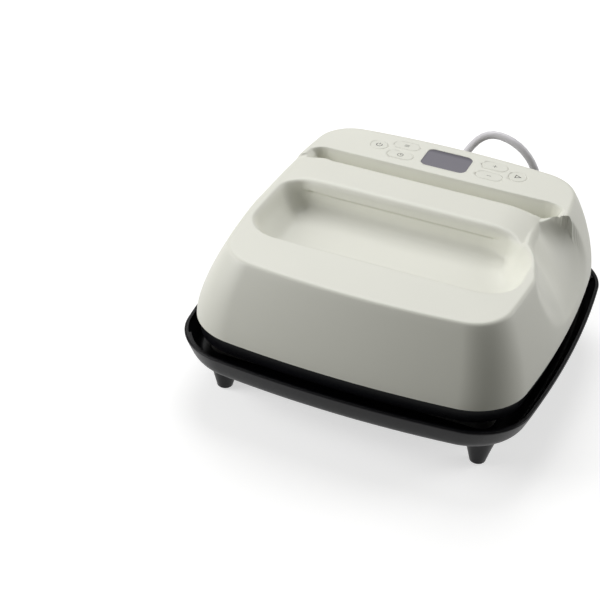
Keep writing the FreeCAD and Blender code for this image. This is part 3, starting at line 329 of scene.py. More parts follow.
class Finishes(Enum):
    """Every finish on the object."""

    SHELL = SparkErodedAbs("abs_satin_offwhite", "E6E6DC", 0.46,
                           grain_mm=0.5, grain_depth_mm=0.012, mottle=0.008, mottle_mm=60.0)
    KEYS = SparkErodedAbs("abs_key_offwhite", "E4E4DA", 0.42,
                          grain_mm=0.45, grain_depth_mm=0.008, mottle=0.008, mottle_mm=20.0)
    BLACK = GlassFilledNylon("nylon_satin_black", "0A0A0E", 0.36,
                             grain_mm=0.5, grain_depth_mm=0.012, mottle=0.1, mottle_mm=18.0, specular=0.2)
    DARK = Finish("pbt_dark_parts", "1C1D20", 0.42, grain_mm=0.4, grain_depth_mm=0.01)
    WINDOW = SmokedWindow("acrylic_smoked_window", "85838B", 0.16,
                          ior=1.49, grain_depth_mm=0.001, roughness_spread=0.02, mottle=0.01)
    PLATE = BrushedMetal("aluminium_machined_plate", "B9B9B5", 0.34, grain_depth_mm=0.006)
    ELEMENT = BrushedMetal("steel_heated_sheath", "8E8A84", 0.4, grain_depth_mm=0.006)
    SHIELD = BrushedMetal("steel_bright_sheet", "B4B6B8", 0.3, grain_depth_mm=0.005)
    SCREWS = Finish("steel_zinc_plated", "A9ABAE", 0.3, metallic=1.0, grain_mm=0.3, grain_depth_mm=0.004)
    BLADES = BrushedMetal("brass_nickel_plated", "C8C4B4", 0.24, grain_depth_mm=0.003)
    CERAMIC = Finish("steatite_sleeves", "E6E1D2", 0.5, grain_mm=0.3, grain_depth_mm=0.01)
    BLANKET = NeedledFibre("glass_fibre_felt", "DDD8C8", 0.9, grain_mm=0.8, grain_depth_mm=0.25, sheen=0.2)
    BOARD = BoardLaminate("fr4_green_mask", "14441F", 0.3, grain_depth_mm=0.004)
    PADS = Finish("silicone_rubber_black", "17171A", 0.62, grain_mm=0.4, grain_depth_mm=0.02)
    CORD = CordJacket("pvc_grey_jacket", "DDDBDF", 0.42,
                      grain_mm=0.7, grain_depth_mm=0.01, mottle=0.012, mottle_mm=14.0)
    PRINT = Finish("ink_pad_print", "2A2A28", 0.5, grain_mm=0.3, grain_depth_mm=0.002)
    FAINT_PRINT = Finish("ink_pad_print_grey", "83837C", 0.5, grain_mm=0.3, grain_depth_mm=0.002)


class Wardrobe:
    """Builds each finish once and puts it on objects."""

    def __init__(self) -> None:
        """Start with nothing built."""
        self._made: dict[Finishes, bpy.types.Material] = {}

    def material(self, finish: Finishes) -> bpy.types.Material:
        """Material of a finish, built on first use."""
        if finish not in self._made:
            self._made[finish] = finish.value.build()
        return self._made[finish]

    def dress(self, piece: Piece, finish: Finishes) -> None:
        """Put one finish on the whole of a piece.

        Args:
            piece: Mesh object.
            finish: What it is covered with.
        """
        piece.data.materials.clear()
        piece.data.materials.append(self.material(finish))
        LOG.info("dressed %s in %s", piece.name, finish.value.name)


# ---------------- mesh helpers


def linked(name: str, data: bpy.types.ID) -> Piece:
    """Put data into the scene as an object."""
    thing = bpy.data.objects.new(name, data)
    bpy.context.scene.collection.objects.link(thing)
    return thing


def finish_piece(mesh: Mesh, name: str, body: str | None = None, smooth_degrees: float = 40.0) -> Piece:
    """Turn a bmesh into a piece.

    Args:
        mesh: Geometry in the row frame; it is freed.
        name: Piece name.
        body: CAD body that it moves with, or None to leave it attached to no body.
        smooth_degrees: Edges sharper than this stay crisp.

    Returns:
        The new object, at the origin.
    """
    bmesh.ops.remove_doubles(mesh, verts=mesh.verts, dist=WELD)
    bmesh.ops.recalc_face_normals(mesh, faces=mesh.faces)
    limit = math.radians(smooth_degrees)
    for face in mesh.faces:
        face.smooth = True
    for edge in mesh.edges:
        edge.smooth = edge.is_manifold and edge.calc_face_angle(0.0) < limit
    data = bpy.data.meshes.new(name)
    mesh.to_mesh(data)
    mesh.free()
    piece = linked(name, data)
    if body:
        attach(piece, body)
    return piece


def deck_matrix(x_mm: float, y_mm: float, rise_mm: float) -> Matrix:
    """Place on the sloping deck: x and y along the slope, rise above its surface."""
    raised = Matrix.Translation((0, 0, DECK_HEIGHT_MM * MM))
    tilt = Matrix.Rotation(math.atan(DECK_SLOPE), 4, "X")
    return raised @ tilt @ Matrix.Translation((x_mm * MM, y_mm * MM, rise_mm * MM))


class Sign(Enum):
    """Printed sign on a key."""

    POWER = "power"
    LINES = "lines"
    CLOCK = "clock"
    PLUS = "plus"
    MINUS = "minus"
    PLAY = "play"


@dataclass
class KeySigns:
    """Pad-printed signs on the six keys."""

    stroke_mm: float = 0.62
    ring_mm: float = 2.35
    bar_mm: float = 1.6
    degrees_per_step: float = 10.0
    fewest_steps: int = 8
    keys: dict[str, tuple[Pair, Sign]] = field(default_factory=lambda: {
        "power_button": (POWER_KEY_MM, Sign.POWER), "temperature_button": (TEMPERATURE_KEY_MM, Sign.LINES),
        "timer_button": (TIMER_KEY_MM, Sign.CLOCK), "plus_button": (PLUS_KEY_MM, Sign.PLUS),
        "minus_button": (MINUS_KEY_MM, Sign.MINUS), "start_button": (START_KEY_MM, Sign.PLAY)})

    def stroke(self, mesh: Mesh, start: Pair, end: Pair) -> None:
        """Add one straight printed stroke.

        Args:
            mesh: Mesh that gets it, in millimetres about the sign's middle.
            start: First end.
            end: Second end.
        """
        a, b = Vector((*start, 0)), Vector((*end, 0))
        made = bmesh.ops.create_grid(mesh, x_segments=1, y_segments=1, size=0.5)["verts"]
        angle = math.atan2(b.y - a.y, b.x - a.x)
        shape = Matrix.Translation((a + b) / 2) @ Matrix.Rotation(angle, 4, "Z") @ Matrix.Diagonal(
            ((b - a).length + self.stroke_mm, self.stroke_mm, 1, 1))
        bmesh.ops.transform(mesh, matrix=shape, verts=made)

    def arc(self, mesh: Mesh, radius: float, start: float, sweep: float) -> None:
        """Add a printed arc by spinning one edge.

        Args:
            mesh: Mesh that gets it, in millimetres about the sign's middle.
            radius: Middle radius.
            start: Where it starts, in degrees from +X.
            sweep: How far it goes, in degrees.
        """
        half = self.stroke_mm / 2
        inner, outer = mesh.verts.new((radius - half, 0, 0)), mesh.verts.new((radius + half, 0, 0))
        edge = mesh.edges.new((inner, outer))
        turned = Matrix.Rotation(math.radians(start), 3, "Z")
        bmesh.ops.rotate(mesh, verts=[inner, outer], cent=(0, 0, 0), matrix=turned)
        steps = max(self.fewest_steps, int(abs(sweep) / self.degrees_per_step))
        bmesh.ops.spin(mesh, geom=[inner, outer, edge], cent=(0, 0, 0), axis=(0, 0, 1),
                       angle=math.radians(sweep), steps=steps, use_merge=abs(sweep) >= 360)

    def draw(self, mesh: Mesh, sign: Sign) -> None:
        """Draw one sign in millimetres about its middle."""
        if sign is Sign.POWER:
            self.arc(mesh, self.ring_mm, 128, 284)
            self.stroke(mesh, (0, 0.9), (0, 2.7))
        elif sign is Sign.LINES:
            for y in (-1.3, 0.0, 1.3):
                self.stroke(mesh, (-1.7, y), (1.7, y))
        elif sign is Sign.CLOCK:
            self.arc(mesh, self.ring_mm, 0, 360)
            self.stroke(mesh, (0, 0), (0, 1.4))
            self.stroke(mesh, (0, 0), (0.9, 0))
        elif sign is Sign.PLUS:
            self.stroke(mesh, (-self.bar_mm, 0), (self.bar_mm, 0))
            self.stroke(mesh, (0, -self.bar_mm), (0, self.bar_mm))
        elif sign is Sign.MINUS:
            self.stroke(mesh, (-self.bar_mm, 0), (self.bar_mm, 0))
        else:
            corners = [(-1.7, -2.3), (2.7, 0.0), (-1.7, 2.3)]
            for a, b in zip(corners, corners[1:] + corners[:1]):
                self.stroke(mesh, a, b)

    def build(self, wardrobe: Wardrobe) -> None:
        """Print every sign on its key.

        Args:
            wardrobe: Where the ink comes from.
        """
        for node, (middle, sign) in self.keys.items():
            mesh = bmesh.new()
            self.draw(mesh, sign)
            bmesh.ops.scale(mesh, vec=(MM, MM, MM), verts=mesh.verts)
            bmesh.ops.transform(mesh, matrix=deck_matrix(*middle, KEY_TOP_MM + PRINT_MM), verts=mesh.verts)
            piece = finish_piece(mesh, f"sign_{sign.value}", node)
            strong = sign in (Sign.POWER, Sign.PLAY)
            wardrobe.dress(piece, Finishes.PRINT if strong else Finishes.FAINT_PRINT)


# ---------------- upper housing


def eased(low: float, high: float, value: float) -> float:
    """Smooth step from 0 at low to 1 at high."""
    share = min(max((value - low) / (high - low), 0.0), 1.0)
    return share * share * (3 - 2 * share)


def soft_min(first: float, second: float, reach: float) -> float:
    """Lower of two values, rounded where they lie within reach of each other."""
    near = max(reach - abs(first - second), 0.0) / reach
    return min(first, second) - near * near * reach / 4


@dataclass(frozen=True)
class Profile:
    """Smooth line through chosen places, straight beyond its two ends."""

    places: tuple[Pair, ...]

    def slope(self, k: int) -> float:
        """Slope of the line at one of its places."""
        last = len(self.places) - 1
        (x0, y0), (x1, y1) = self.places[max(k - 1, 0)], self.places[min(k + 1, last)]
        return (y1 - y0) / (x1 - x0)

    def at(self, x: float) -> float:
        """Height of the line.

        Args:
            x: Place along it.

        Returns:
            The value there.
        """
        last = len(self.places) - 1
        if x <= self.places[0][0]:
            return self.places[0][1] + self.slope(0) * (x - self.places[0][0])
        if x >= self.places[last][0]:
            return self.places[last][1] + self.slope(last) * (x - self.places[last][0])
        k = next(n for n in range(last) if x < self.places[n + 1][0])
        (x0, y0), (x1, y1) = self.places[k], self.places[k + 1]
        step = x1 - x0
        t = (x - x0) / step
        return (y0 * (1 + 2 * t) * (1 - t) ** 2 + y1 * t * t * (3 - 2 * t)
                + step * (self.slope(k) * t * (1 - t) ** 2 - self.slope(k + 1) * t * t * (1 - t)))

    def level_at(self, x: float) -> float:
        """Height of the line where it stays level beyond its two ends."""
        return self.at(min(max(x, self.places[0][0]), self.places[-1][0]))


@dataclass(frozen=True)
class WallForm:
    """Rule for the walls: a plan of four outward arcs and four rounded corners, drawn in with height.

    Heights are shares of the rise.  A lean is its reach at the full rise and its power of the height.
    """

    half_width: float = 137.25
    half_depth: float = 135.95
    side_lean: Pair = (29.8, 1.47)
    front_lean: Pair = (29.1, 1.54)
    rear_lean: Pair = (21.8, 2.74)
    corner: float = 46.8
    corner_loss: float = 17.3
    bow_x: float = 7.4
    bow_x_loss: float = 1.0
    bow_y: float = 7.0
    bow_y_loss: float = 0.6
    corner_share: float = 0.6
    side_share: float = 0.72

    def leans(self, level: float) -> tuple[float, ...]:
        """How far the sides, the front and the rear lean in at a height."""
        rules = (self.side_lean, self.front_lean, self.rear_lean)
        return tuple(reach * level ** power for reach, power in rules)

    def outline(self, level: float, u: float, v: float, inward: float = 0.0) -> Pair:
        """Point of the wall's plan at a height.

        Args:
            level: Height above the lower edge, as a share of the rise.
            u: Place round the plan, on a square from -1 to 1.
            v: The same along Y.
            inward: How far inside the wall's face.

        Returns:
            X and Y in millimetres.
        """
        side, front, rear = self.leans(level)
        half_w, half_d = self.half_width - side - inward, self.half_depth - (front + rear) / 2 - inward
        corner = self.corner - self.corner_loss * level - inward
        bow_x, bow_y = self.bow_x - self.bow_x_loss * level, self.bow_y - self.bow_y_loss * level
        rise_x, rise_y = half_d - self.corner_share * corner, half_w - self.corner_share * corner
        radius_x = (rise_x ** 2 + bow_x ** 2) / (2 * bow_x)
        radius_y = (rise_y ** 2 + bow_y ** 2) / (2 * bow_y)
        side_mid, end_mid = Vector((half_w - radius_x, 0.0)), Vector((0.0, half_d - radius_y))
        across = end_mid - side_mid
        reach_x, reach_y = radius_x - corner, radius_y - corner
        along = (reach_x ** 2 - reach_y ** 2 + across.length ** 2) / (2 * across.length)
        unit = across.normalized()
        centre = side_mid + unit * along + Vector((-unit.y, unit.x)) * math.sqrt(reach_x ** 2 - along ** 2)
        side_end = side_mid + (centre - side_mid) * (radius_x / reach_x)
        top_end = end_mid + (centre - end_mid) * (radius_y / reach_y)
        a, b = abs(u), abs(v)
        if b <= self.side_share:
            y = side_end.y * b / self.side_share
            x = side_mid.x + math.sqrt(radius_x ** 2 - y * y)
        elif a <= self.side_share:
            x = top_end.x * a / self.side_share
            y = end_mid.y + math.sqrt(radius_y ** 2 - x * x)
        else:
            over_a, over_b = a - self.side_share, b - self.side_share
            share = 0.5 * over_b / over_a if over_b <= over_a else 1 - 0.5 * over_a / over_b
            first = math.atan2(side_end.y - centre.y, side_end.x - centre.x)
            last = math.atan2(top_end.y - centre.y, top_end.x - centre.x)
            angle = first + (last - first) * share
            x, y = centre.x + corner * math.cos(angle), centre.y + corner * math.sin(angle)
        return math.copysign(x, u), math.copysign(y, v) + (front - rear) / 2

    def side_x(self, level: float, y: float) -> float:
        """Place of the right wall at a height, with its bow taken as a parabola."""
        side, front, rear = self.leans(level)
        corner, bow = self.corner - self.corner_loss * level, self.bow_x - self.bow_x_loss * level
        rise = self.half_depth - (front + rear) / 2 - self.corner_share * corner
        return self.half_width - side - bow * ((y - (front - rear) / 2) / rise) ** 2


@dataclass(frozen=True)
class GripEnds:
    """Ends of the grip: a rounded shoulder on the left, and a wall pushed in up to a crease on the right."""

    start_x: float = 80.0
    span: Pair = (-100.0, 90.0)
    shoulder: Profile = Profile((
        (100.0, 131.0), (106.0, 130.6), (111.0, 129.4), (115.0, 127.3), (118.0, 124.6), (121.0, 119.6)))
    shoulder_up: Profile = Profile(((-75.0, 6.0), (-50.0, 3.4), (-20.0, 0.7), (0.0, 0.0), (60.0, 0.0)))
    shoulder_blend: float = 1.5
    turn_down: Profile = Profile((
        (84.0, 130.2), (87.0, 129.0), (90.0, 127.6), (92.0, 126.3), (93.5, 124.8), (94.8, 122.6),
        (96.0, 119.8), (98.0, 113.0)))
    turn_out: Profile = Profile((
        (-60.0, 26.0), (-44.0, 22.0), (-30.0, 18.0), (-12.0, 13.0), (-2.0, 9.5), (6.0, 6.2), (16.0, 3.0),
        (28.0, 0.8), (40.0, -0.3), (57.0, -1.5)))
    turn_up: Profile = Profile((
        (-60.0, 8.0), (-44.0, 6.5), (-30.0, 5.6), (-12.0, 5.0), (-2.0, 3.8), (6.0, 2.5), (16.0, 1.0),
        (28.0, 0.2), (57.0, 0.0)))
    push: Profile = Profile((
        (-60.0, 0.0), (-44.0, 1.0), (-30.0, 3.5), (-12.0, 8.7), (-2.0, 12.3), (6.0, 16.3), (16.0, 20.5),
        (28.0, 23.3), (40.0, 24.5), (57.0, 25.1)))
    push_level: float = 0.694
    push_power: float = 1.4
    fade_y: float = 57.0
    fade_top: float = 5.0
    fade_top_level: float = 0.8
    fade_growth: float = 90.0
    fade_behind: float = 0.8
    crest_rear_lift: float = 10.0
    clearance: float = 1.5
    clearance_within: float = 3.0
    crease_blend: float = 0.8
    rim_blend: float = 1.2
    crest_z: float = 125.6
    crest_lift: float = 1.8
    crest_x: Pair = (92.0, 110.0)
    search_steps: int = 18

    def pushed_x(self, wall: WallForm, level: float, y: float) -> float:
        """Place of the right wall at a height, pushed in beside the pocket and the grip.

        Args:
            wall: Rule for the walls.
            level: Height above the lower edge, as a share of the rise.
            y: Place along.

        Returns:
            X in millimetres.
        """
        fade = self.fade_top + self.fade_growth * max(self.fade_top_level - level, 0.0)
        depth = self.push.level_at(y) * (level / self.push_level) ** self.push_power
        depth *= 1 - eased(self.fade_y - fade, self.fade_y + self.fade_behind * fade, y)
        clear = self.clearance * (1 - eased(0.0, self.clearance_within, depth))
        return wall.side_x(level, y) - depth + clear

    def right_z(self, wall: WallForm, rise: Pair, crest: float, x: float, y: float) -> float:
        """Height at the right end: the grip turns down to a crease, and the pushed wall goes on from it.

        Args:
            wall: Rule for the walls.
            rise: Height of the wall's lower edge, and the rise above it.
            crest: Height of the ridge before the thumb slot.
            x: Place across.
            y: Place along.

        Returns:
            Height in millimetres.
        """
        grip_end = self.turn_down.at(x - self.turn_out.level_at(y)) + self.turn_up.level_at(y)
        low, high = 0.0, 1.0
        for _ in range(self.search_steps):
            level = (low + high) / 2
            if self.pushed_x(wall, level, y) > x:
                low = level
            else:
                high = level
        return -soft_min(-grip_end, -min(rise[0] + rise[1] * low, crest), self.crease_blend)

    def left_z(self, x: float, y: float) -> float:
        """Height of the rounded shoulder at the left end."""
        return self.shoulder.at(-x) + self.shoulder_up.level_at(y)


@dataclass
class Housing:
    """Moulded off-white housing: leaning walls, deck, finger pocket, grip and thumb slot.

    It is one skin: a grid whose rows and columns crowd together where the form turns, set in place
    line by line, with a plainer inner skin one wall further in.  A pair of places is where a change
    starts and ends.  The shape of a key or the window is half its width, half its depth and its corner.
    """

    foot_z: float = 65.45
    foot_tolerance: float = 0.01
    rise: float = 80.0
    wall: float = 2.6
    walls: WallForm = WallForm()
    ends: GripEnds = GripEnds()
    edge: float = 2.4
    edge_drop: float = 0.9
    edge_guess_y: float = 120.0
    settle_rounds: int = 4
    wall_rings: int = 14
    fewest_wall_rings: int = 4
    edge_rings: int = 4
    ring_spread: float = 0.012
    pull_from: float = 0.6
    pocket_half: float = 107.0
    pocket_taper: float = 1.5
    taper_end: float = 60.0
    pocket_front: float = -69.0
    pocket_rear: float = 16.0
    front_corner: float = 27.0
    rear_corner_left: float = 17.0
    rear_corner_right: float = 40.0
    lip_rows: Pair = (-12.0, 4.0)
    lip_left: float = 86.0
    lip_right: float = 78.0
    lip_fade: float = 14.0
    pocket_rim: float = 8.0
    grip_rear: float = 60.0
    grip_top_z: float = 131.4
    grip_flat: float = 60.0
    grip_arch: float = 100.0
    grip_rows: Pair = (4.0, 14.0)
    grip_left_end: Pair = (78.0, 108.0)
    grip_right_end: Pair = (90.0, 96.0)
    rear_step: Pair = (-1.0, 1.2)
    slot_rear: float = 73.5
    slot_half: float = 108.0
    slot_end: float = 107.5
    slot_end_run: float = 15.0
    slot_deep: float = 23.0
    slot_corner: float = 13.0
    slot_margins: Triple = (7.0, 3.0, 4.0)
    slot_blend: float = 0.6
    steeper: float = 2.0
    steeper_x: Pair = (84.0, 98.0)
    line_bend_x: float = 88.0
    tongue_front: float = 55.0
    tongue_corner: float = 5.0
    right_line_back: float = 1.0
    seam_z: float = 122.3
    seam_depth: float = 1.6
    seam_half: float = 0.9
    seam_drop: float = 0.6
    seam_rows: Pair = (8.0, 19.0)
    seam_reach: float = 99.0
    seam_left_end: Pair = (84.0, 97.0)
    seam_right_end: Pair = (60.0, 76.0)
    undercut: float = 1.6
    undercut_step: float = 0.35
    undercut_z: Pair = (107.0, 114.0)
    round_key: Triple = (7.2, 7.2, 7.2)
    long_key: Triple = (11.0, 5.8, 5.8)
    window: Triple = (19.5, 13.75, 6.0)
    gap: float = 0.07
    cutter_sides: int = 64
    cutter_height: float = 9.0
    cutter_foot: float = -6.0
    inner_coarse: int = 3
    crisp_degrees: float = 60.0
    first_row: float = -113.5
    column_steps: tuple[Pair, ...] = ((78.0, 3.0), (94.0, 1.0), (112.0, 0.5), (113.2, 0.6))
    row_steps: tuple[Pair, ...] = (
        (-74.0, 3.0), (-52.0, 0.7), (-30.0, 1.5), (8.0, 2.0), (13.6, 0.6), (17.2, 0.22), (24.0, 0.6),
        (50.0, 2.0), (59.0, 0.7), (62.0, 0.25), (71.5, 0.7), (75.5, 0.25), (80.0, 0.75), (121.5, 2.5))
    scoop: Profile = Profile((
        (-2.6, 0.0), (-1.5, 0.35), (-0.5, 1.1), (0.5, 2.7), (1.5, 5.1), (2.5, 7.7), (4.0, 10.9),
        (6.0, 14.0), (9.0, 17.5), (12.0, 20.0), (16.0, 22.3), (20.0, 23.5), (26.0, 24.0), (60.0, 24.0)))
    lip: Profile = Profile((
        (-7.0, 0.0), (-5.0, 0.3), (-3.0, 1.15), (-1.5, 2.6), (-0.5, 4.6), (0.2, 8.0), (0.8, 10.5),
        (1.6, 13.5), (2.4, 16.4), (3.4, 18.6), (5.5, 20.5), (9.0, 22.0), (14.0, 23.2), (20.0, 23.9),
        (26.0, 24.0), (60.0, 24.0)))
    grip_back: Profile = Profile((
        (-6.5, 0.0), (-4.2, 0.35), (-2.6, 1.1), (-1.3, 2.4), (-0.5, 4.2), (0.1, 7.0), (0.6, 10.0),
        (1.0, 13.0), (1.7, 17.0), (2.8, 20.0), (4.5, 22.0), (7.0, 23.0), (20.0, 23.0)))
    slot_wall: Profile = Profile((
        (-1.2, 0.0), (-0.6, 0.25), (-0.1, 1.1), (0.4, 3.2), (0.9, 6.8), (1.4, 11.0), (2.2, 16.0),
        (3.4, 20.0), (5.0, 22.3), (7.0, 23.0), (30.0, 23.0)))

    @staticmethod
    def steps(start: float, table: Sequence[Pair], coarse: int) -> list[float]:
        """Places of the grid's lines.

        Args:
            start: First place.
            table: End of each stretch and the spacing in it.
            coarse: 1 for the outer skin; a larger number widens the spacing.

        Returns:
            Rising places, in millimetres.
        """
        places = [start]
        for end, spacing in table:
            count = max(1, round((end - places[-1]) / (spacing * coarse)))
            first = places[-1]
            places += [first + (end - first) * k / count for k in range(1, count + 1)]
        return places

    @staticmethod
    def stretched(lines: Sequence[float], reach: float, spread: float, extra: int) -> list[float]:
        """Turn places into shares of their reach, with more lines beyond both ends for the walls.

        Args:
            lines: Rising places.
            reach: Half of their span.
            spread: Distance between the lines beyond the ends.
            extra: How many there are at each end.

        Returns:
            Rising shares; -1 and 1 are the first and the last place.
        """
        middle = (lines[0] + lines[-1]) / 2
        shares = [(line - middle) / reach for line in lines]
        before = [-(1 + spread * k) for k in range(extra, 0, -1)]
        return before + shares + [-share for share in reversed(before)]

    def deck(self, y: float) -> float:
        """Height of the sloping deck."""
        return DECK_HEIGHT_MM + DECK_SLOPE * y

    def met(self, u: float, v: float, drop: float) -> tuple[float, Pair]:
        """Where the wall meets the deck, or a surface that lies lower than the deck by a drop.

        Args:
            u: Place round the plan.
            v: The same along Y.
            drop: How much lower.

        Returns:
            The height there as a share of the rise, and X and Y.
        """
        y = self.edge_guess_y * v
        for _ in range(self.settle_rounds):
            level = (self.deck(y) - self.foot_z - drop) / self.rise
            x, y = self.walls.outline(level, u, v)
        return level, (x, y)

    def edge_point(self, u: float, v: float, share: float) -> Triple:
        """Point on the rounding between the deck and the wall.

        Args:
            u: Place round the plan.
            v: The same along Y.
            share: 0 on the deck, 1 on the wall.

        Returns:
            X, Y and Z in millimetres.
        """
        level, (x, y) = self.met(u, v, 0.0)
        inner = self.walls.outline(level, u, v, self.edge)
        low_level = level - self.edge_drop * self.edge / self.rise
        low = self.walls.outline(low_level, u, v)
        start = Vector((*inner, self.deck(inner[1])))
        corner = Vector((x, y, self.deck(y)))
        end = Vector((*low, self.foot_z + self.rise * low_level))
        point = start * (1 - share) ** 2 + corner * (2 * share * (1 - share)) + end * share ** 2
        return tuple(point)

    def wall_point(self, u: float, v: float, share: float) -> Triple:
        """Point on the wall, from the rounding at share 0 to the lower edge at share 1."""
        level = self.met(u, v, self.edge_drop * self.edge)[0] * (1 - share)
        return *self.walls.outline(level, u, v), self.foot_z + self.rise * level

    def behind(self, x: float, y: float) -> float:
        """How far a place lies inside the deck's rear part and its two tongues; negative outside them."""
        px, py = self.slot_half + self.tongue_corner - abs(x), self.tongue_front + self.tongue_corner - y
        tongue = math.hypot(max(px, 0.0), max(py, 0.0)) + min(max(px, py), 0.0) - self.tongue_corner
        rear, reach = self.slot_rear - y, self.slot_corner
        corner = math.hypot(max(reach - tongue, 0.0), max(reach - rear, 0.0))
        return corner - max(reach, min(tongue, rear))

    def rear_share(self, x: float, y: float) -> float:
        """1 on the deck's rear part and its tongues, 0 before them."""
        return eased(*self.rear_step, self.behind(x, y))

    def grip_line(self, x: float) -> float:
        """Where the grip's rear edge lies; on the left it runs on to the tip of the tongue."""
        end = self.tongue_front if x < 0 else self.grip_rear - self.right_line_back
        return self.grip_rear - (self.grip_rear - end) * eased(self.line_bend_x, self.slot_half, abs(x))

    def lowered(self, x: float, y: float, z: float) -> float:
        """Bring a deck or wall height down to the grip's ends where they are lower.

        Args:
            x: Place across.
            y: Place along.
            z: Height without them.

        Returns:
            Height with them.
        """
        ends = self.ends
        if abs(x) < ends.start_x or y < ends.span[0] or y > ends.span[1]:
            return z
        rear = self.rear_share(x, y)
        if x > 0:
            crest = ends.crest_z + (self.deck(y) + ends.crest_lift - ends.crest_z) * eased(*ends.crest_x, x)
            crest += ends.crest_rear_lift * rear
            right = ends.right_z(self.walls, (self.foot_z, self.rise), crest, x, y)
            return soft_min(z, right, ends.rim_blend)
        return z * rear + soft_min(z, ends.left_z(x, y), ends.shoulder_blend) * (1 - rear)

    def top(self, x: float, y: float) -> float:
        """Height of the deck side: deck, grip and its ends, with the pocket and the slot sunk into them.

        Args:
            x: Place across.
            y: Place along.

        Returns:
            Height in millimetres.
        """
        flat = self.deck(y)
        band = eased(*self.grip_rows, y) * (1 - self.rear_share(x, y))
        if x < 0:
            grip = self.grip_top_z + (flat - self.grip_top_z) * eased(*self.grip_left_end, -x)
        else:
            past = max(x - self.grip_flat, 0.0)
            grip = self.grip_top_z - (self.grip_arch - math.sqrt(max(self.grip_arch ** 2 - past ** 2, 0.0)))
            grip += (flat - grip) * eased(*self.grip_right_end, x)
        z = self.lowered(x, y, flat + (grip - flat) * band)
        return z - max(self.pocket_depth(x, y), self.slot_depth(x, y))

    def pocket_depth(self, x: float, y: float) -> float:
        """Depth of the finger pocket."""
        middle = (self.pocket_front + self.pocket_rear) / 2
        half_y = (self.pocket_rear - self.pocket_front) / 2
        rear_corner = self.rear_corner_left if x < 0 else self.rear_corner_right
        corner = self.front_corner if y < middle else rear_corner
        half_x = self.pocket_half - self.pocket_taper * eased(0.0, self.taper_end, x)
        qx, qy = abs(x) - half_x + corner, abs(y - middle) - half_y + corner
        inside = corner - math.hypot(max(qx, 0.0), max(qy, 0.0)) - min(max(qx, qy), 0.0)
        if inside < -self.pocket_rim:
            return 0.0
        end = self.lip_right if x > 0 else self.lip_left
        under_lip = eased(*self.lip_rows, y) * (1 - eased(end, end + self.lip_fade, abs(x)))
        depth = self.scoop.level_at(inside) * (1 - under_lip)
        if under_lip > 0:
            depth += self.lip.level_at(inside) * under_lip
        return max(depth, 0.0)

    def slot_depth(self, x: float, y: float) -> float:
        """Depth of the thumb slot."""
        before, after, beside = self.slot_margins
        if y < self.tongue_front - before or y > self.slot_rear + after or abs(x) > self.slot_end + beside:
            return 0.0
        sharp = 1 + self.steeper * eased(*self.steeper_x, abs(x))
        from_grip = self.grip_back.level_at((y - self.grip_line(x)) * sharp)
        from_wall = self.slot_wall.level_at(-self.behind(x, y))
        end = self.slot_deep * eased(-1.0, self.slot_end_run, self.slot_end - abs(x))
        return max(min(soft_min(from_grip, from_wall, self.slot_blend), end), 0.0)

    def place(self, x: float, y: float) -> Vector:
        """Point of the deck side, with the wall below the lip set back behind a thin seam."""
        z = self.top(x, y)
        if self.seam_rows[0] < y < self.seam_rows[1] and abs(x) < self.seam_reach:
            step = self.undercut_step
            back = self.undercut * eased(self.seam_z - step, self.seam_z + step, 2 * self.seam_z - z)
            groove = self.seam_depth * max(0.0, 1 - abs(z - self.seam_z + self.seam_drop) / self.seam_half)
            ends = eased(*self.seam_left_end, -x) + eased(*self.seam_right_end, x)
            y += (back * eased(*self.undercut_z, z) + groove) * (1 - ends)
        return Vector((x, y, z))

    def skin(self, coarse: int) -> Mesh:
        """Make one skin.

        Args:
            coarse: 1 for the outer skin; a larger number gives a plainer one.

        Returns:
            An open mesh in millimetres.
        """
        half = self.steps(0.0, self.column_steps, coarse)
        columns = [-x for x in reversed(half[1:])] + half
        rows = self.steps(self.first_row, self.row_steps, coarse)
        edge_rings = max(1, self.edge_rings // coarse)
        extra = edge_rings + max(self.fewest_wall_rings, self.wall_rings // coarse)
        middle_y, half_y = (rows[0] + rows[-1]) / 2, (rows[-1] - rows[0]) / 2
        spread = self.ring_spread * coarse
        us = self.stretched(columns, half[-1], spread, extra)
        vs = self.stretched(rows, half_y, spread, extra)
        mesh = bmesh.new()
        made = bmesh.ops.create_grid(mesh, x_segments=len(us) - 1, y_segments=len(vs) - 1, size=0.5)["verts"]
        for vert in made:
            i, j = round((vert.co.x + 0.5) * (len(us) - 1)), round((vert.co.y + 0.5) * (len(vs) - 1))
            u, v = us[i], vs[j]
            size = max(abs(u), abs(v))
            if size <= 1.0:
                flat = Vector((u * half[-1], middle_y + v * half_y))
                if size > self.pull_from:
                    rim = Vector(self.edge_point(u / size, v / size, 0.0)[:2])
                    square = Vector((u / size * half[-1], middle_y + v / size * half_y))
                    flat += (rim - square) * eased(self.pull_from, 1.0, size)
                vert.co = self.place(flat.x, flat.y)
            else:
                ring = round((size - 1.0) / spread)
                if ring <= edge_rings:
                    point = self.edge_point(u / size, v / size, ring / edge_rings)
                else:
                    point = self.wall_point(u / size, v / size, (ring - edge_rings) / (extra - edge_rings))
                vert.co = (point[0], point[1], self.lowered(*point))
        bmesh.ops.recalc_face_normals(mesh, faces=mesh.faces)
        return mesh

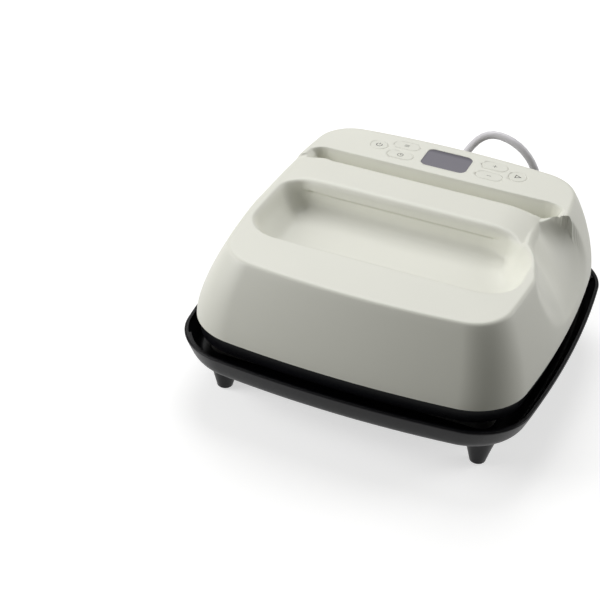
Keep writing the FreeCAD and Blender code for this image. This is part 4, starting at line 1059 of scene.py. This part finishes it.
    def opening_cutters(self) -> Mesh:
        """Prisms through the deck for the six keys and the window.

        Returns:
            Closed prisms in metres.
        """
        mesh = bmesh.new()
        shapes = ((self.round_key, (POWER_KEY_MM, START_KEY_MM)), (self.window, (WINDOW_MM,)),
                  (self.long_key, (TEMPERATURE_KEY_MM, TIMER_KEY_MM, PLUS_KEY_MM, MINUS_KEY_MM)))
        plans = [(*middle, *shape) for shape, middles in shapes for middle in middles]
        for x, y, half_x, half_y, corner in plans:
            disc = bmesh.ops.create_circle(
                mesh, cap_ends=True, segments=self.cutter_sides, radius=corner + self.gap)["verts"]
            for vert in disc:
                vert.co.x += math.copysign(half_x - corner, vert.co.x)
                vert.co.y += math.copysign(half_y - corner, vert.co.y)
            faces = list({face for vert in disc for face in vert.link_faces})
            top = bmesh.ops.extrude_face_region(mesh, geom=faces)["geom"]
            risen = [g for g in top if isinstance(g, bmesh.types.BMVert)]
            bmesh.ops.translate(mesh, vec=(0, 0, self.cutter_height), verts=risen)
            bmesh.ops.scale(mesh, vec=(MM, MM, MM), verts=disc + risen)
            bmesh.ops.transform(mesh, matrix=deck_matrix(x, y, self.cutter_foot), verts=disc + risen)
        bmesh.ops.recalc_face_normals(mesh, faces=mesh.faces)
        return mesh

    def build(self, wardrobe: Wardrobe) -> Piece:
        """Make the housing in place of its solids.

        Args:
            wardrobe: Where its finish comes from.

        Returns:
            The housing's object.
        """
        outer, inner = self.skin(1), self.skin(self.inner_coarse)
        inner.normal_update()
        for vert in inner.verts:
            if vert.co.z > self.foot_z + self.foot_tolerance:
                vert.co -= vert.normal * self.wall
            else:
                flat = Vector((vert.normal.x, vert.normal.y, 0.0)).normalized()
                vert.co -= flat * self.wall
        bmesh.ops.reverse_faces(inner, faces=inner.faces)
        data = bpy.data.meshes.new("inner_skin")
        inner.to_mesh(data)
        inner.free()
        outer.from_mesh(data)
        bpy.data.meshes.remove(data)
        bmesh.ops.bridge_loops(outer, edges=[edge for edge in outer.edges if edge.is_boundary])
        bmesh.ops.scale(outer, vec=(MM, MM, MM), verts=outer.verts)
        shell = finish_piece(outer, "housing", "press", self.crisp_degrees)
        cutters = finish_piece(self.opening_cutters(), "openings", "press")
        cut = shell.modifiers.new("openings", "BOOLEAN")
        cut.operation, cut.solver, cut.object = "DIFFERENCE", "EXACT", cutters
        pierced = bpy.data.meshes.new_from_object(shell.evaluated_get(bpy.context.evaluated_depsgraph_get()))
        shell.modifiers.clear()
        shell.data = pierced
        bpy.data.objects.remove(cutters)
        wardrobe.dress(shell, Finishes.SHELL)
        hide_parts("upper_shell", "handle_cover", "handle_body")
        LOG.info("housing %d faces", len(shell.data.polygons))
        return shell


# ---------------- mains cord


@dataclass
class MainsCord:
    """The grey lead: out of the strain relief, over a loop, down behind the base and into a coil."""

    diameter_mm: float = 7.0
    route_mm: tuple[Triple, ...] = (
        (-12.03, 155.54, 89.8), (-14.01, 180.86, 89.8), (2.2, 203.4, 114.4), (41.1, 198.6, 107.0),
        (58.0, 206.9, 64.3), (61.0, 226.0, 3.5), (61.0, 262.0, 3.5))
    coil_x_mm: float = 13.0
    coil_y_mm: float = 280.0
    outer_turn_mm: float = 48.0
    tail_y_mm: tuple[float, ...] = (264.0, 250.0, 236.0)
    turns: float = 6.5
    points_per_turn: int = 16
    inward_at: tuple[float, ...] = (0.847, 1.847, 2.847)
    outward_at: tuple[float, ...] = (4.6, 5.6)
    shift_run: float = 0.139
    climb_at: float = 3.667
    climb_run: float = 0.166
    sides: int = 14

    def coil_points(self) -> list[Triple]:
        """Points of the coil: four turns inwards on the table and two and a half back out on top.

        Returns:
            Control points in millimetres, anticlockwise from the cord's arrival.
        """
        step = self.diameter_mm
        outside = math.cos(math.pi / self.points_per_turn)
        points = []
        for k in range(1, int(self.turns * self.points_per_turn) + 1):
            turn = k / self.points_per_turn
            radius = self.outer_turn_mm
            for start in self.inward_at:
                radius -= step * eased(0.0, self.shift_run, turn - start)
            for start in self.outward_at:
                radius += step * eased(0.0, self.shift_run, turn - start)
            height = 0.5 * step + step * eased(0.0, self.climb_run, turn - self.climb_at)
            angle = 2 * math.pi * (turn % 1.0)
            points.append((self.coil_x_mm + radius * math.cos(angle) / outside,
                           self.coil_y_mm + radius * math.sin(angle) / outside, height))
        return points

    def control_points(self) -> list[Triple]:
        """The whole cord's control points, in millimetres."""
        end_x = self.coil_x_mm - self.outer_turn_mm + self.diameter_mm
        tail = [(end_x, y, 1.5 * self.diameter_mm) for y in self.tail_y_mm]
        return list(self.route_mm) + self.coil_points() + tail

    def centreline(self) -> list[Vector]:
        """Points along the smooth line through the control points.

        Returns:
            Points in metres, close together, from the strain relief to the plug.
        """
        points = self.control_points()
        curve = bpy.data.curves.new("cord_line", "CURVE")
        curve.dimensions = "3D"
        spline = curve.splines.new("NURBS")
        spline.points.add(len(points) - 1)
        for point, place in zip(spline.points, points):
            point.co = (place[0] * MM, place[1] * MM, place[2] * MM, 1.0)
        spline.order_u = 3
        spline.use_endpoint_u = True
        spline.resolution_u = 6
        holder = linked("cord_line", curve)
        line = bpy.data.meshes.new_from_object(holder)
        places = [v.co.copy() for v in line.vertices]
        bpy.data.objects.remove(holder)
        bpy.data.curves.remove(curve)
        bpy.data.meshes.remove(line)
        return places

    def tube(self, line: Sequence[Vector]) -> Mesh:
        """Round tube along a line, with closed ends.

        Args:
            line: Points that it follows.

        Returns:
            The tube's mesh.
        """
        mesh = bmesh.new()
        radius = self.diameter_mm * MM / 2
        normal = Vector((1, 0, 0))
        rims: list[list[bmesh.types.BMEdge]] = []
        for k, place in enumerate(line):
            heading = (line[min(k + 1, len(line) - 1)] - line[max(k - 1, 0)]).normalized()
            normal = (normal - heading * normal.dot(heading)).normalized()
            frame = Matrix((normal, heading.cross(normal), heading)).transposed().to_4x4()
            ring = bmesh.ops.create_circle(mesh, segments=self.sides, radius=radius,
                                           matrix=Matrix.Translation(place) @ frame)["verts"]
            rims.append(list({edge for vert in ring for edge in vert.link_edges}))
        for near, far in zip(rims, rims[1:]):
            bmesh.ops.bridge_loops(mesh, edges=near + far)
        for rim in (rims[0], rims[-1]):
            bmesh.ops.edgeloop_fill(mesh, edges=rim)
        return mesh

    def build(self, wardrobe: Wardrobe) -> Piece:
        """Make the cord, which runs between the press and the base and is attached to no body.

        Args:
            wardrobe: Where its finish comes from.

        Returns:
            The cord's object.
        """
        line = self.centreline()
        cord = finish_piece(self.tube(line), "mains_cord")
        wardrobe.dress(cord, Finishes.CORD)
        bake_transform(cord)
        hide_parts("cord", "cord_coil")
        return cord


# ---------------- carried-over solids


@dataclass
class CarriedSolids:
    """Every CAD node in its finish, also the few that a new piece stands in for."""

    finishes: dict[Finishes, tuple[str, ...]] = field(default_factory=lambda: {
        Finishes.SHELL: ("upper_shell", "handle_body", "handle_cover"),
        Finishes.KEYS: ("power_button", "start_button", "temperature_button", "timer_button", "plus_button",
                        "minus_button"),
        Finishes.BLACK: ("base_tray", "skirt"),
        Finishes.DARK: ("display_module", "push_switches", "buzzer", "thermal_cutout", "relay"),
        Finishes.WINDOW: ("display_lens",),
        Finishes.PLATE: ("heat_plate",),
        Finishes.ELEMENT: ("heating_element", "temperature_sensor"),
        Finishes.SHIELD: ("heat_shield",),
        Finishes.SCREWS: ("handle_screws", "board_screws", "shell_screws", "plate_screws",
                          "power_board_screws"),
        Finishes.CERAMIC: ("plate_standoffs",),
        Finishes.BLANKET: ("insulation_blanket",),
        Finishes.BOARD: ("control_board", "power_board"),
        Finishes.PADS: ("foot_pads", "rest_pads"),
        Finishes.CORD: ("strain_relief", "inner_lead", "plug_body", "cord", "cord_coil"),
        Finishes.BLADES: ("plug_blades",)})

    def dress(self, nodes: dict[str, Piece], wardrobe: Wardrobe) -> None:
        """Dress every node.

        Args:
            nodes: CAD objects by name.
            wardrobe: Where the finishes come from.
        """
        for finish, names in self.finishes.items():
            for name in names:
                wardrobe.dress(nodes[name], finish)


# ---------------- studio


@dataclass
class Studio:
    """White floor and backdrop, soft lamps and the camera.

    Each lamp has a name, a place, the length of its side and its power in watts.
    """

    aim: Vector = field(default_factory=lambda: Vector((0.0, 0.0, 0.09)))
    seen_range: Pair = (0.05, 50.0)
    camera_place: Vector = field(default_factory=lambda: Vector((0.33219, -1.07462, 0.78713)))
    camera_back: Vector = field(default_factory=lambda: Vector((0.30169, -0.77882, 0.54993)))
    camera_up: Vector = field(default_factory=lambda: Vector((-0.25561, 0.48962, 0.83363)))
    lens_mm: float = 100.77
    sensor_mm: float = 36.0
    floor_reach: float = 6.0
    glow_strength: float = 0.6
    soft_strength: float = 0.13
    lamps: tuple[tuple[str, Triple, float, float], ...] = (
        ("top_back", (-0.45, 0.95, 1.7), 1.2, 21.0),
        ("left_front", (-1.35, -0.75, 0.8), 1.0, 18.5),
        ("right_back", (1.35, 0.9, 0.7), 0.9, 10.5))

    def camera(self) -> None:
        """Create the camera and make it the scene's own."""
        data = bpy.data.cameras.new("camera")
        data.lens = self.lens_mm
        data.sensor_width = self.sensor_mm
        data.clip_start, data.clip_end = self.seen_range
        camera = linked("camera", data)
        back = self.camera_back.normalized()
        right = self.camera_up.cross(back).normalized()
        turned = Matrix((right, back.cross(right), back)).transposed().to_4x4()
        camera.matrix_world = Matrix.Translation(self.camera_place) @ turned
        bpy.context.scene.camera = camera

    def lamp(self, name: str, place: Triple, size: float, power: float) -> None:
        """Add a square soft lamp that faces the object.

        Args:
            name: Lamp name.
            place: Where it stands.
            size: Side length.
            power: Watts.
        """
        data = bpy.data.lights.new(name, "AREA")
        data.shape = "SQUARE"
        data.size = size
        data.energy = power
        lamp = linked(name, data)
        away = Vector(place) - self.aim
        lamp.location = place
        lamp.rotation_mode = "QUATERNION"
        lamp.rotation_quaternion = away.to_track_quat("Z", "Y")

    @staticmethod
    def seen_by(tree: Tree, *rays: str) -> Socket:
        """Tell some kinds of rays from the others.

        Args:
            tree: Node tree that gets the nodes.
            *rays: Names of the kinds.

        Returns:
            A socket that is 1 for a ray of one of the kinds and 0 for any other.
        """
        path = add(tree, "LightPath")
        seen = path.outputs[rays[0]]
        for ray in rays[1:]:
            seen = add(tree, "Math", {"operation": "MAXIMUM"}, i0=seen, i1=path.outputs[ray]).outputs[0]
        return seen

    def floor(self) -> None:
        """Lay a floor that looks white and keeps the shadow, and sends little light back up."""
        mesh = bmesh.new()
        bmesh.ops.create_grid(mesh, x_segments=1, y_segments=1, size=self.floor_reach)
        data = bpy.data.meshes.new("floor")
        mesh.to_mesh(data)
        mesh.free()
        floor = linked("floor", data)
        material = bpy.data.materials.new("paper_white_sweep")
        tree = empty_tree(material)
        seen = self.seen_by(tree, "Is Camera Ray", "Is Glossy Ray", "Is Transmission Ray")
        plain = add(tree, "BsdfDiffuse", Color=linear("5A5A54"))
        bright = add(tree, "BsdfDiffuse", Color=linear("C8C8C8"))
        glow = add(tree, "Emission", Color=linear("FFFFFF"), Strength=self.glow_strength)
        shown = add(tree, "AddShader", i0=bright.outputs[0], i1=glow.outputs[0])
        mix = add(tree, "MixShader", i0=seen, i1=plain.outputs[0], i2=shown.outputs[0])
        add(tree, "OutputMaterial", Surface=mix.outputs[0])
        floor.data.materials.append(material)

    def world(self) -> None:
        """Give the world an even glow that is white where the camera sees it."""
        world = bpy.data.worlds.new("studio")
        tree = empty_tree(world)
        seen = self.seen_by(tree, "Is Camera Ray", "Is Transmission Ray")
        soft = add(tree, "Background", Color=linear("F8F8F2"), Strength=self.soft_strength)
        white = add(tree, "Background", Color=linear("FFFFFF"), Strength=1.0)
        mix = add(tree, "MixShader", i0=seen, i1=soft.outputs[0], i2=white.outputs[0])
        add(tree, "OutputWorld", Surface=mix.outputs[0])
        bpy.context.scene.world = world

    def build(self) -> None:
        """Set up the floor, world, lamps, camera and colour handling."""
        bpy.context.scene.view_settings.view_transform = "Standard"
        self.floor()
        self.world()
        for lamp in self.lamps:
            self.lamp(*lamp)
        self.camera()


def main() -> None:
    """Build the whole scene in order."""
    logging.basicConfig(level=logging.INFO, format="%(message)s")
    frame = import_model()
    wardrobe = Wardrobe()
    CarriedSolids().dress(frame["nodes"], wardrobe)
    MainsCord().build(wardrobe)
    Housing().build(wardrobe)
    KeySigns().build(wardrobe)
    Studio().build()


if __name__ == "__main__":
    main()
